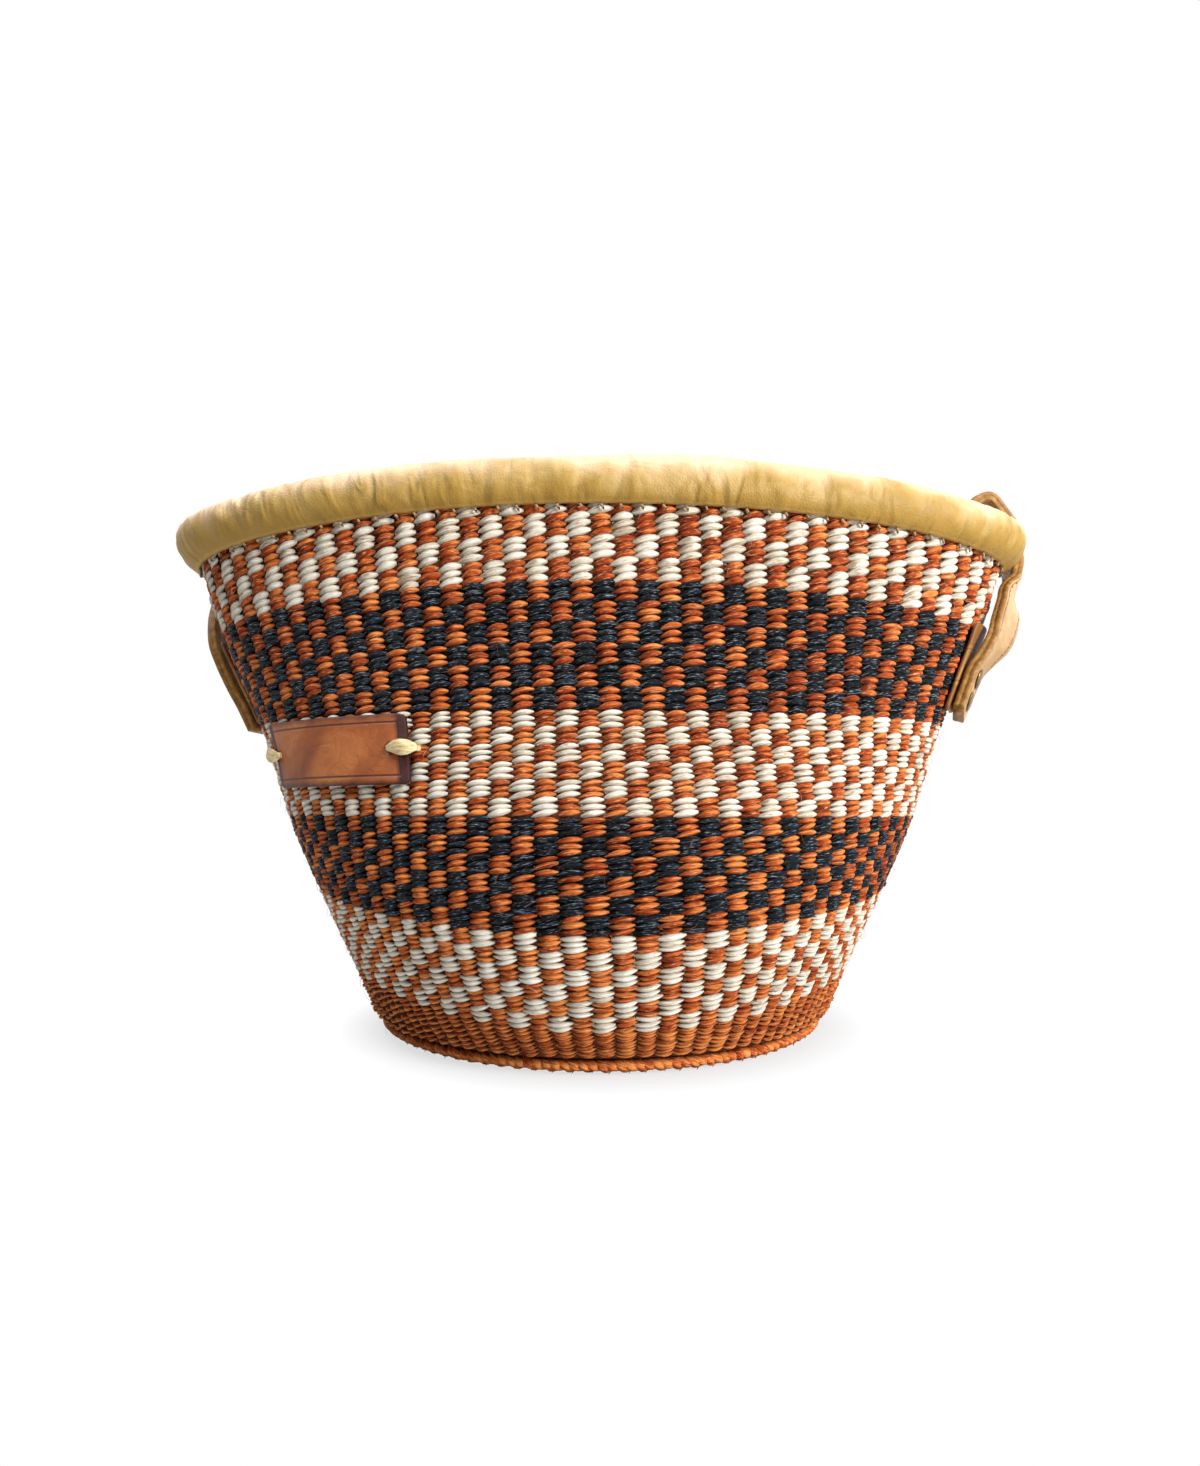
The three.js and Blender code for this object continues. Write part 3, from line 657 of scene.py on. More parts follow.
def strand_tree():
    """Strands on points: each point's attributes turn, size and check tell how its strand lies."""
    tree = bpy.data.node_groups.new("yarn strands", "GeometryNodeTree")
    for name, kind in [
            ("Points", "Geometry"), ("Strand", "Object"), ("Unevenness", "Float"), ("Seed", "Int"),
            ("Plain Yarn", "Material"), ("Check Yarn", "Material")]:
        tree.interface.new_socket(name, in_out="INPUT", socket_type="NodeSocket" + kind)
    tree.interface.new_socket("Strands", in_out="OUTPUT", socket_type="NodeSocketGeometry")
    n = Nodes(tree)
    given = n.add("NodeGroupInput").outputs
    turn, size, check = (
        n.out("GeometryNodeInputNamedAttribute", {"Name": name}, data_type=kind)
        for name, kind in (("turn", "FLOAT_VECTOR"), ("size", "FLOAT_VECTOR"), ("check", "BOOLEAN")))
    spread = n.triple(*[given["Unevenness"]] * 3)
    low, high = (n.vector(way, (1, 1, 1), spread) for way in ("SUBTRACT", "ADD"))
    jitter = n.out(
        "FunctionNodeRandomValue", {"Seed": given["Seed"], 0: low, 1: high}, data_type="FLOAT_VECTOR")
    placed = n.out("GeometryNodeInstanceOnPoints", {
        "Points": given["Points"],
        "Instance": n.out("GeometryNodeObjectInfo", {"Object": given["Strand"]}, "Geometry"),
        "Rotation": n.out("FunctionNodeEulerToRotation", {0: turn}),
        "Scale": n.vector("MULTIPLY", n.vector("MULTIPLY", (MM, MM, MM), jitter), size)})
    real = n.out("GeometryNodeRealizeInstances", {0: placed})
    plain = n.out("GeometryNodeSetMaterial", {"Geometry": real, "Material": given["Plain Yarn"]})
    checked = n.out("GeometryNodeSetMaterial", {
        "Geometry": plain, "Selection": check, "Material": given["Check Yarn"]})
    n.add("NodeGroupOutput", {0: checked})
    return tree


STRANDS = strand_tree()


def strands_on(name, points, along, outward, sizes, tints, template, yarn, unevenness, seed=3,
               checks=False, check_yarn=None):
    """A piece of strands on points; along is each one's length direction and outward its outer side."""
    count = len(points)
    x_way = unit(along)
    y_way = -unit(outward - x_way * (outward * x_way).sum(-1, keepdims=True))
    z_way = np.cross(x_way, y_way)
    euler = np.stack([
        np.arctan2(y_way[:, 2], z_way[:, 2]), -np.arcsin(np.clip(x_way[:, 2], -1, 1)),
        np.arctan2(x_way[:, 1], x_way[:, 0])], -1)
    mesh = bpy.data.meshes.new(name + " points")
    mesh.from_pydata((points * MM).tolist(), [], [])
    for key, kind, field, values in [
            ("turn", "FLOAT_VECTOR", "vector", euler.astype(np.float32)),
            ("size", "FLOAT_VECTOR", "vector", np.broadcast_to(sizes, (count, 3)).astype(np.float32)),
            ("tint", "FLOAT", "value", np.broadcast_to(tints, count).astype(np.float32)),
            ("check", "BOOLEAN", "value", np.broadcast_to(checks, count).astype(bool))]:
        mesh.attributes.new(key, kind, "POINT").data.foreach_set(field, values.ravel())
    source = new_object(name + " points", mesh)
    modifier = source.modifiers.new("strands", "NODES")
    modifier.node_group = STRANDS
    values = {"Strand": template, "Unevenness": unevenness, "Seed": seed,
              "Plain Yarn": yarn, "Check Yarn": check_yarn or yarn}
    for item in STRANDS.interface.items_tree:
        if item.name in values:
            modifier[item.identifier] = values[item.name]
    made = bpy.data.meshes.new_from_object(source.evaluated_get(bpy.context.evaluated_depsgraph_get()))
    made.name = name
    bpy.data.objects.remove(source)
    return new_object(name, made)


def column_shares(level):
    """Where the columns of strands stand round the wall at a level."""
    even = (np.arange(COLUMNS) + 0.5) / COLUMNS
    turn = TURN * even
    ends, quarters, front = (float(between(v, level)) for v in (CROWDING, QUARTER_CROWDING, FRONT_CROWDING))
    crowded = even - ends * np.sin(2 * turn) / (2 * TURN) + quarters * np.sin(4 * turn) / (4 * TURN)
    return crowded + front * np.cos(turn) / TURN + LEAN * (level - LEAN_FROM) / girth(level)


def band_yarn(index, inside, template):
    """All strands on one side of one band of colour, row by row."""
    colour, rows, side = BAND_DYES[index], ROWS[index], -1 if inside else 1
    rng = seeded(100 + 10 * index + inside)
    low, high = LEVELS[index], LEVELS[index + 1]
    row, column = (k.ravel() for k in np.indices((rows, COLUMNS)))
    count = len(row)
    level = low + (high - low) * (row + 0.5) / rows
    angle = np.concatenate([arc_angles(k, column_shares(k)) for k in level[::COLUMNS]])
    waver = smooth_noise(40 + index, 6, 30.0)
    level = level + 0.35 * waver(wall_point(level, angle)) + rng.normal(0, 0.06, count)
    across, slope, face = wall_frame(level, angle)
    tilt = math.radians(6 if index < 5 else 11) * side + rng.normal(0, 0.06, count)
    along = side * (across * np.cos(tilt)[:, None] + slope * np.sin(tilt)[:, None])
    surface = -WALL - 0.1 if inside else 0.1
    deep = rng.normal(0, 0.1, count) - 0.9
    points = wall_point(level, angle) + face * (surface + side * deep)[:, None]
    stand = np.gradient(column_shares((low + high) / 2)) * COLUMNS
    width = girth((low + high) / 2) / COLUMNS
    sizes = np.stack(np.broadcast_arrays(1.5 * width * stand[column], 1.5, 1.3 * (high - low) / rows), -1)
    sizes = sizes * rng.normal(1, 0.055, (count, 3))
    first = sum(ROWS[1:index]) // CHECK_ROWS
    checks = (index > 0) & ((column + row // CHECK_ROWS + first + inside) % 2 == 0)
    shades = smooth_noise(60 + index, 8, 12.0)(points)
    tints = np.clip(rng.normal(0.5, 0.11, count) + 0.09 * shades + PALER[index], 0.05, 0.95)
    spread, step, high_share = (0.02, 0.03, 0.9) if colour == "navy" else (0.04, 0.07, 1.04)
    sizes[:, 0] *= np.where(checks, 1 + spread, 1 - spread)
    sizes[:, 2] *= high_share
    points = points + side * face * np.where(checks, step, -step)[:, None]
    name = f"{'inner' if inside else 'outer'}_weave_{index + 1}_{colour}"
    return strands_on(name, points, along, face * side, sizes, tints, template, RUST_YARN, 0.08, 11 + index,
                      checks, DYES[colour][0])


def wall_core():
    """The ribs and the hidden middle of the wall, as one closed shell that shows only in the gaps, coloured
    in painted shade.
    """
    levels = np.linspace(FOOT + 0.2, WALL_TOP - 0.6, 70)
    steps = 192
    angles = around(steps)
    outer = [wall_point(level, angles, -1.5) for level in levels]
    inner = [wall_point(level, angles, -WALL + 1.3) for level in levels[::-1]]
    # The lip fills the slit above the foot cord with a band of the same painted shade.
    lip = wall_point(levels[0], angles, -5.0)
    rings = outer + inner + [lip - UP * 0.45, lip - UP * 0.75]
    mesh = new_mesh("wall_ribs", np.concatenate(rings), grid_faces(len(rings), steps, True, True))
    navy = ((levels > LEVELS[2]) & (levels < LEVELS[3])) | ((levels > LEVELS[4]) & (levels < LEVELS[5]))
    by_navy = np.repeat(np.concatenate([navy, navy[::-1], [False, False]]).astype(np.float32), steps)
    mesh.attributes.new("by navy", "FLOAT", "POINT").data.foreach_set("value", by_navy)
    return new_object("wall_ribs", mesh, RIBS)


outer_strand = strand_template("outer strand", 7, 6)
inner_strand = strand_template("inner strand", 4, 5)
fibres = [fibre_template("long fibre", 0.12, 0.1), fibre_template("curled fibre", 0.2, -0.16)]
stitch = stitch_template("stitch")
for band, dyed in enumerate(BAND_DYES):
    finish_piece(band_yarn(band, False, outer_strand), DYES[dyed][1], f"wall_band_{band + 1}_{dyed}")
    finish_piece(band_yarn(band, True, inner_strand), DYES[dyed][1])
finish_piece(wall_core(), "bare_sisal")


# The base: rings of twined yarn below and on the floor, and the cord round its edge.
def base_rings():
    rng = seeded(7)
    found = []
    for side in (-1, 1):
        for ring, radius in enumerate(np.arange(3.0, BASE_RADIUS, 2.3)):
            count = max(6, round(TURN * radius / 5.6))
            turn = TURN * (np.arange(count) + 0.5 * (ring % 2)) / count
            size = [1.3 * TURN * radius / count, 1.8, 2.7]
            found.append((on_circle(turn, radius, 0.95 if side < 0 else BASE_THICK - 0.95),
                          np.cross(UP, on_circle(turn)), [UP * side] * count, [size] * count))
    points, along, outward, sizes = (np.concatenate(parts) for parts in zip(*found))
    tints = np.clip(rng.normal(0.42, 0.13, len(points)), 0.05, 0.95)
    return strands_on("base_rings", points, along, outward, sizes, tints, inner_strand, RUST_YARN, 0.08, 5)


def base_core():
    """The hidden middle of the base, seen only between its rings, coloured in the painted shade of the ribs.
    """
    steps = 96
    rings = [on_circle(around(steps), radius, height) for radius, height in [
        (0.5, 0.9), (BASE_RADIUS - 0.8, 0.9), (BASE_RADIUS + 1.2, 1.5), (BASE_RADIUS + 2.0, 2.2),
        (BASE_RADIUS + 1.2, 2.9), (BASE_RADIUS - 0.8, BASE_THICK - 0.9), (0.5, BASE_THICK - 0.9)]]
    mesh = new_mesh("base_ribs", np.concatenate(rings), grid_faces(len(rings), steps, True, True))
    return new_object("base_ribs", mesh, RIBS)


def edge_cord():
    """A twined cord of two strands that cross each other all round the foot, and its inner sides."""
    rng = seeded(9)
    centre = BASE_RADIUS + SEAT + BRAID / 2
    count = 92
    found = []
    # Each row gives its shift along, its place off the cord's middle radius and above the ground, the
    # outward and upward parts of its strands' way, and those of their outer side.
    for shift, off, height, (way_out, way_up), (out, rise) in [
            (0, 0.8, BRAID / 2 + 0.1, (0, -math.tan(0.42)), (1, 0)),
            (0.5, 0.8, BRAID / 2 + 0.1, (0, -math.tan(0.42)), (1, 0)),
            (0.25, -0.6, 1.4, (0.3, 0), (0.2, -1)),
            (0.25, -0.6, BRAID - 1.5, (-0.3, 0), (0.2, 1))]:
        radial = on_circle(TURN * (np.arange(count) + shift) / count)
        found.append((radial * (centre + off) + UP * height,
                      np.cross(UP, radial) + radial * way_out + UP * way_up, radial * out + UP * rise))
    points, along, outward = (np.concatenate(parts) for parts in zip(*found))
    sizes = np.array([7.6, 2.4, 2.7]) * rng.normal(1, 0.05, (len(points), 3))
    tints = np.clip(rng.normal(0.72, 0.12, len(points)), 0.1, 0.95)
    return strands_on(
        "base_edge_cord", points, along, outward, sizes, tints, outer_strand, RUST_YARN, 0.06, 8)


finish_piece(base_rings(), "rust_sisal", "base_disc")
finish_piece(base_core(), "bare_sisal")
finish_piece(edge_cord(), "rust_sisal", "base_edge_braid")


# The rolled rim.
def rim_wrap():
    """The goatskin round the roll, with lumps of the bundle below and creases of its wrapping."""
    steps, outer_steps, inner_steps, waves = 720, 44, 22, 14
    slot = WALL / 2 + SEAT + 0.15
    across, high = ROLL_ACROSS / 2, ROLL_HIGH / 2
    lumps = smooth_noise(21, 9, 9.0)
    rng = seeded(22)
    counts = rng.integers(14, 56, waves)
    slants = rng.uniform(1.2, 3.2, waves)
    phases = rng.uniform(0, TURN, waves)
    start = math.asin(slot / across)
    turn = np.linspace(start, TURN - start, outer_steps)
    out, above = across * np.sin(turn), -high * np.cos(turn)
    ease = np.clip(np.minimum(turn - start, TURN - start - turn) / 0.5, 0, 1)
    back = np.linspace(TURN - start - 0.06, start + 0.06, inner_steps)
    sections = []
    for angle in around(steps):
        ripples = np.sin(counts * angle + slants * turn[:, None] + phases).sum(1) / math.sqrt(waves)
        folds = 0.6 - np.abs(ripples)
        bulge = 0.34 * lumps(rim_point(angle, out, above)) + (0.14 + 0.2 * math.cos(angle) ** 4) * folds
        grow = 1 + (bulge * ease + 0.05) / across
        outer = rim_point(angle, out * grow, above * np.where(above < 0, 1.0, grow))
        inner = rim_point(
            angle, (across - ROLL_LEATHER) * np.sin(back), -(high - ROLL_LEATHER) * np.cos(back))
        sections.append(np.concatenate([outer, inner]))
    return swept_ring("rim_goatskin", sections, WRAP_LOOP, GOATSKIN)


def rim_filling():
    """The bundle of sisal ends inside the wrap: a ring with the lay of its strands."""
    across = ROLL_ACROSS / 2 - ROLL_LEATHER - 0.4
    top = ROLL_HIGH / 2 - ROLL_LEATHER - 0.4
    bottom = -ROLL_ABOVE + SEAT
    turn = around(20)
    sections = []
    for angle in around(240):
        lay = 0.84 + 0.05 * np.sin(7 * turn + 40 * angle)
        above = (top + bottom) / 2 + (top - bottom) / 2 * lay * np.sin(turn)
        sections.append(rim_point(angle, across * lay * np.cos(turn), above))
    return swept_ring("rim_bundle", sections, BUNDLE_ROUND, BARE_SISAL)


def rim_stitches():
    """Thread that comes out under the wrap's edge and goes down into the weave, all round."""
    rng = seeded(31)
    count = 104
    angle = arc_angles(WALL_TOP, (np.arange(count) + rng.uniform(-0.12, 0.12, count)) / count)
    foot = -ROLL_HIGH / 2
    outward = WALL / 2 + SEAT + THREAD / 2 - 0.1
    middle = rim_point(angle, outward, foot - THREAD / 2 + 0.3)
    above = rim_point(angle, outward, foot + 1.0) - rim_point(angle, outward, foot - 1.0)
    normal = oval_normal(WALL_TOP, angle)
    slant = rng.normal(0.55, 0.1, count)[:, None]
    sizes = np.array([1.9, 0.7, 0.8]) * rng.normal(1, 0.08, (count, 3))
    along = np.cross(UP, normal) * slant - unit(above) * 0.9
    return strands_on("rim_stitches", middle, along, normal, sizes, 0.5, stitch, RIM_THREAD, 0.05)


finish_piece(rim_wrap(), "rim_goatskin", "rim_leather")
finish_piece(rim_filling(), "bare_sisal", "rim_hoop")
finish_piece(rim_stitches(), "pale_thread", "rim_thread")


# Cut leather that lies on the wall: the label, the tabs and the backings.
class AlongWall:
    """Turns a distance along the outer face, from a plate's middle, into the oval's angle."""

    def __init__(self, height, start, long, back=0.0):
        self.fine = np.linspace(start - 1.6, start + 1.6, 2401)
        self.gone = gone_along(wall_point(level_at(height, self.fine), self.fine))
        self.long = long
        self.middle = np.interp(start, self.fine, self.gone) - back

    def __call__(self, distance):
        return np.interp(self.middle + distance, self.gone, self.fine)


def wall_plate(name, angles_of, bottom, high, near, thick, corner, material, lift=None):
    """A plate with rounded corners and eased edges."""
    long = angles_of.long
    ease = np.array([0.0, 0.25, 0.7, 1.3])

    def spread(size, inset, count):
        inner = np.linspace(-size / 2 + inset, size / 2 - inset, count)
        return np.concatenate([-size / 2 + ease, inner, size / 2 - ease[::-1]])

    u, v = spread(long, 2.2, 30), spread(high, 2.0, 10)
    past = np.clip(np.abs(v) - (high / 2 - corner), 0, corner)
    half = long / 2 - (corner - np.sqrt(np.maximum(corner ** 2 - past ** 2, 0)))
    uu = u[None, :] * (half / (long / 2))[:, None]
    vv = np.repeat(v[:, None], len(u), 1)
    edge = np.minimum(half[:, None] - np.abs(uu), high / 2 - np.abs(vv))
    drop = 0.3 * np.clip(1 - edge / 0.7, 0, 1) ** 2
    rise = lift(uu, vv) if lift else 0 * uu
    angle = angles_of(uu)
    level = level_at(bottom + high / 2 + vv, angle)
    outs = (near + thick - drop + rise, near + drop + rise)
    points = [wall_point(level, angle, out).reshape(-1, 3) for out in outs]
    at = np.arange(uu.size).reshape(uu.shape)
    loop = np.concatenate([at[0, :-1], at[:-1, -1], at[-1, :0:-1], at[:0:-1, 0]])
    after = np.roll(loop, -1)
    front = grid_faces(*uu.shape, False, False)
    side = np.stack([loop + uu.size, after + uu.size, after, loop], -1)
    mesh = new_mesh(name, np.concatenate(points), np.concatenate([front, front[:, ::-1] + uu.size, side]))
    face_uvs(mesh, "flat", np.tile(np.stack([uu.ravel(), vv.ravel()], -1), (2, 1)))
    return new_object(name, mesh, material)


def label_lift(u, v):
    """Tied leather stands off a little between its thongs and cups at its corners."""
    corner = (np.abs(u) / (LABEL_LONG / 2)) ** 4 * (np.abs(v) / (LABEL_HIGH / 2)) ** 2
    return 0.25 * np.cos(math.pi * u / LABEL_LONG) + 0.3 * corner


label_angles = AlongWall(LABEL_MIDDLE, LABEL_NEAR, LABEL_LONG, LABEL_LONG / 2)
label_plate = wall_plate("label_plate", label_angles, LABEL_MIDDLE - LABEL_HIGH / 2, LABEL_HIGH, SEAT,
                         LABEL_THICK, 1.6, LABEL_LEATHER, label_lift)
finish_piece(label_plate, "label_leather", "label")


def thong(name, hole, side):
    """A hide thong: a pinched knot outside, two legs through the wall and a flat turn inside."""
    count, sides = 15, 14
    t = np.linspace(0, 1, count)
    turn = around(sides)
    points, faces = [], []

    def tube(centres, ups, outs, half_high, half_thick, folds):
        faces.extend(tube_faces(count, sides, sides * len(points)))
        for i, centre in enumerate(centres):
            ridge = 1 + 0.13 * folds * np.sin(3 * turn + 5 * t[i] + side)
            points.append(centre + ups[i] * (half_high[i] * np.cos(turn) * ridge)[:, None]
                          + outs[i] * (half_thick[i] * np.sin(turn) * ridge)[:, None])

    def frame_at(distance):
        angle = label_angles(hole + side * distance)
        level = level_at(LABEL_MIDDLE, angle)
        _, slope, out = wall_frame(level, angle)
        return angle, level, slope, out

    angle, level, ups, outs = frame_at(np.linspace(-0.8, THONG_SPAN + 1.3, count))
    lens = np.sin(math.pi * np.clip((t + 0.06) / 1.1, 0, 1) ** 1.3) ** 0.9
    knot = wall_point(level, angle, SEAT + LABEL_THICK + SEAT + 0.35) + outs * (0.9 * lens)[:, None]
    tube(knot, ups, outs, 0.5 + 2.1 * lens * (1 - 0.25 * t), 0.25 + 0.75 * lens, 1.0)
    inner = wall_point(level, angle, -WALL - SEAT - THONG_THICK / 2)
    tube(inner, ups, outs, 0.6 + 1.0 * lens, 0.35 + 0.3 * lens, 0.6)
    for place in (0.0, THONG_SPAN):
        angle, level, ups, outs = frame_at(np.full(count, place))
        reach = np.linspace(-WALL - SEAT - 0.4, SEAT + LABEL_THICK + SEAT + 0.5, count)
        leg = wall_point(level, angle, reach)
        tube(leg, ups, np.cross(outs, ups), np.full(count, 0.85), np.full(count, 0.7), 0.3)
    return new_object(name, new_mesh(name, np.concatenate(points), faces), THONG_HIDE)


near_hole = LABEL_LONG / 2 - LABEL_HOLE
finish_piece(thong("label_knot_near", near_hole, 1), "thong_hide", "label_thong_near")
finish_piece(thong("label_knot_far", -near_hole, -1), "thong_hide", "label_thong_far")


# The shoulder strap's way, as the solids have it. Each climb gives share of the height, share of the
# turn, distance off the seat and twist. Each curl gives the distance past the roll's middle and above
# it. Each bend gives, in strap bends, the distance past the folds and above the layer it lands on.
ROUTES = {
    "right": {
        "crossing": math.radians(11),
        "climb": [(0, 0, 0, 0), (0.14, 0, 0, 0), (0.25, 0, 0.1, 1), (0.34, 0.04, 1.7, 6),
                  (0.46, 0.13, 2.5, 17), (0.64, 0.33, 2.1, 22), (0.767, 0.54, 2.2, 22),
                  (0.85, 0.66, 3.7, 22)],
        "beside": (0.82, 10.4, 23),
        "curl": [(9.2, 5), (6.2, 10.6), (0.6, 16), (-5.6, 20.8), (-10.6, 18.2), (-13.4, 12),
                 (-14.6, 5), (-14, -1)],
        "curl_twist": 25, "side": 1, "lands": 0, "bends": [(1.25, 0.2), (0.6, 0), (0, 0)],
    },
    "left": {
        "crossing": math.radians(158),
        "climb": [(0, 0, 0, 0), (0.14, 0, 0, 0), (0.25, 0, 0.2, 0), (0.36, 0.05, 0.9, -2),
                  (0.48, 0.15, 1.2, -4), (0.62, 0.33, 0.9, -5), (0.76, 0.56, 1.2, -4)],
        "beside": (0.9, 9.3, 0),
        "curl": [(7.6, 10.4), (0, 12.6), (-7.2, 10.6), (-9.8, 0)],
        "curl_twist": 0, "side": -1, "lands": LAST_FOLD, "bends": [(1.8, 0.2), (0.9, 0), (0, 0)],
    },
}


def anchor_point(name, height, outward):
    """A point off the wall at an anchor, square to the wall's slope there."""
    angle = ANCHORS[name]
    here, above = (wall_point(level_at(h, angle), angle) for h in (height, height + 1))
    return here + unit(np.cross(level_across(height, angle), above - here)) * outward


def turned(way, degrees):
    cos, sin = math.cos(-math.radians(degrees)), math.sin(-math.radians(degrees))
    return np.array([cos * way[0] - sin * way[1], sin * way[0] + cos * way[1], way[2]])


def outside_run(name):
    """Knots of point and width direction from the rivets up, over the rim and into the curl."""
    route, start, foot = ROUTES[name], ANCHORS[name], ANCHOR_HEIGHTS[name]
    crossing = route["crossing"]
    knots = []
    for share, turn, off, twist in route["climb"]:
        height = foot + share * (WALL_TOP - ROLL_OVERLAP - foot)
        angle = start + (crossing - start) * turn
        point = (wall_point(level_at(height, angle), angle, STRAP_CENTRE + off) if turn
                 else anchor_point(name, height, STRAP_CENTRE + off))
        knots.append((point, turned(level_across(height, angle), twist)))
    share, out, twist = route["beside"]
    beside = start + (crossing - start) * share
    knots.append((rim_point(beside, out, -0.1 * ROLL_HIGH), turned(level_across(WALL_TOP, beside), twist)))
    width = turned(level_across(WALL_TOP, crossing), route["curl_twist"])
    over = np.cross(width, UP)
    return knots + [(rim_point(crossing, 0, above) + over * out, width) for out, above in route["curl"]]


def inside_run(name):
    """Knots down the inside of the wall and on to the floor or the folds."""
    route = ROUTES[name]
    crossing, side = route["crossing"], route["side"]
    lowest = FOLD_BOTTOM + route["lands"] * FOLD_PITCH
    width = np.array([0.0, side, 0.0])
    heights = np.linspace(WALL_TOP - 0.8 * ROLL_HIGH, lowest + STRAP_BEND, 9)
    knots = []
    for i, height in enumerate(heights):
        t = (i + 1) / len(heights)
        angle = crossing + ((0 if side > 0 else math.pi) - crossing) * t * (2 - t)
        point = wall_point(level_at(height, angle), angle, -WALL - STRAP_THICK / 2 - STRAP_GAP)
        knots.append((point, width))
    for reach, lift in route["bends"]:
        place = [side * (FOLD_REACH + reach * STRAP_BEND), 0.0, lowest + lift * STRAP_BEND]
        knots.append((np.array(place), width))
    return knots


def catmull_rom(points, count, centripetal):
    """Points along a Catmull-Rom curve through the given ones."""
    p = np.array(points, float)
    found = []
    for place in np.linspace(0, len(p) - 1, count + 1):
        i = min(int(place), len(p) - 2)
        t = place - i
        b, c = p[i], p[i + 1]
        a = p[i - 1] if i else 2 * p[0] - p[1]
        d = p[i + 2] if i + 2 < len(p) else 2 * p[-1] - p[-2]
        if centripetal:
            ab, bc, cd = [max(np.linalg.norm(v - u), 1e-8) ** 0.5 for u, v in ((a, b), (b, c), (c, d))]
            start = ((b - a) / ab - (c - a) / (ab + bc) + (c - b) / bc) * bc
            end = ((c - b) / bc - (d - b) / (bc + cd) + (d - c) / cd) * bc
        else:
            start, end = (c - a) / 2, (d - b) / 2
        square, cube = 3 * (c - b) - 2 * start - end, 2 * (b - c) + start + end
        found.append(b + start * t + square * t * t + cube * t ** 3)
    return np.array(found)


def strap_way(name, count):
    knots = outside_run(name) + inside_run(name)
    points = catmull_rom([k[0] for k in knots], count, True)
    return points, unit(catmull_rom([unit(k[1]) for k in knots], count, False))


def fold_way():
    """The strap to and fro on the floor of the bag."""
    points = []
    radius = FOLD_PITCH / 2
    for layer, (reach_shift, side_shift) in enumerate(FOLD_SHIFTS):
        heading = 1 if layer % 2 else -1
        z = FOLD_BOTTOM + layer * FOLD_PITCH
        if layer == 0:
            points.append([FOLD_REACH - STRAP_JOINT, side_shift, z])
        if layer == LAST_FOLD:
            points.append([-FOLD_REACH + STRAP_JOINT, side_shift, z])
            break
        next_side = FOLD_SHIFTS[layer + 1][1]
        x = heading * (FOLD_REACH + reach_shift)
        last, first = np.array(points[-1]), np.array([x, next_side, z])
        points += [last + (first - last) * share for share in np.linspace(0, 1, 12)[1:-1]]
        points += [[x + heading * radius * math.cos(turn), next_side, z + radius + radius * math.sin(turn)]
                   for turn in np.linspace(-math.pi / 2, math.pi / 2, 13)]
    return np.array(points), np.tile([0.0, 1.0, 0.0], (len(points), 1))


# The strap's section, across its width and through its two sewn layers, with a joint at each side.
HALF_SECTION = np.array([
    (-5.4, 1.6), (-2.7, 1.6), (0, 1.6), (2.7, 1.6), (5.4, 1.6), (5.85, 1.42), (6, 1.0), (5.98, 0.3),
    (5.7, 0), (5.98, -0.3), (6, -1.0), (5.85, -1.42)])
SECTION = np.concatenate([HALF_SECTION, -HALF_SECTION])
SECTION_EDGE = (np.abs(SECTION[:, 0]) + np.abs(np.roll(SECTION, -1, axis=0)[:, 0])) / 2 > 5.5


def strap_axes(points, widths):
    along = unit(np.gradient(points, axis=0))
    across = unit(widths - along * (widths * along).sum(-1, keepdims=True))
    return along, across, np.cross(across, along)


def strap_piece(name, points, widths):
    _, across, outward = strap_axes(points, widths)
    rings = [p + a * SECTION[:, :1] + o * SECTION[:, 1:] for p, a, o in zip(points, across, outward)]
    count, sides = len(points), len(SECTION)
    mesh = new_mesh(name, np.concatenate(rings), tube_faces(count, sides))
    along = np.repeat(gone_along(points), sides)
    face_uvs(mesh, "flat", np.stack([along, np.tile(SECTION[:, 0], count)], -1))
    made = new_object(name, mesh, STRAP_LEATHER, STRAP_EDGE)
    kinds = np.concatenate([np.tile(SECTION_EDGE, count - 1), [True, True]]).astype(np.int32)
    mesh.polygons.foreach_set("material_index", kinds)
    return made


def strap_stitches(name, points, widths):
    """A row of stitches near each edge, on both faces."""
    gone = gone_along(points)
    places = np.arange(2.5, gone[-1] - 2.0, 3.4)
    middle, way, wide, out = (
        np.stack([np.interp(places, gone, values[:, k]) for k in range(3)], -1)
        for values in (points, *strap_axes(points, widths)))
    rows = [(edge, face) for edge in (-1, 1) for face in (-1, 1)]
    spots = [middle + wide * edge * (STRAP_WIDE / 2 - 1.8) + out * face * (STRAP_THICK / 2 - 0.04)
             for edge, face in rows]
    outward = np.concatenate([out * face for _, face in rows])
    return strands_on(name, np.concatenate(spots), np.tile(way, (4, 1)), outward, [2.4, 0.36, 0.45], 0.5,
                      stitch, STRAP_THREAD, 0.06)


for part, way in {"run_right": strap_way("right", 300), "run_left": strap_way("left", 280),
                  "folds": fold_way()}.items():
    finish_piece(strap_piece(f"sewn_strap_{part}", *way), "strap_leather", f"strap_{part}")
    finish_piece(strap_stitches(f"strap_stitches_{part}", *way), "pale_thread")


# Anchors: tab, backing and rivets on each side. A rivet's profile is given as distance out and radius,
# from its seat outside and then from its seat inside.
RIVET_DOME = [(0.5, 0.05), (0.49, 0.7), (0.43, 1.5), (0.32, 2.3), (0.17, 2.85), (0.05, 3.0),
              (-0.05, 2.9), (0, 1.3)]
RIVET_WASHER = [(0, 1.3), (0.02, 2.9), (-0.1, 3.0), (-0.45, 2.95), (-0.55, 2.6), (-0.5, 1.6), (-0.95, 1.5),
                (-1.1, 1.1), (-1.12, 0.05)]


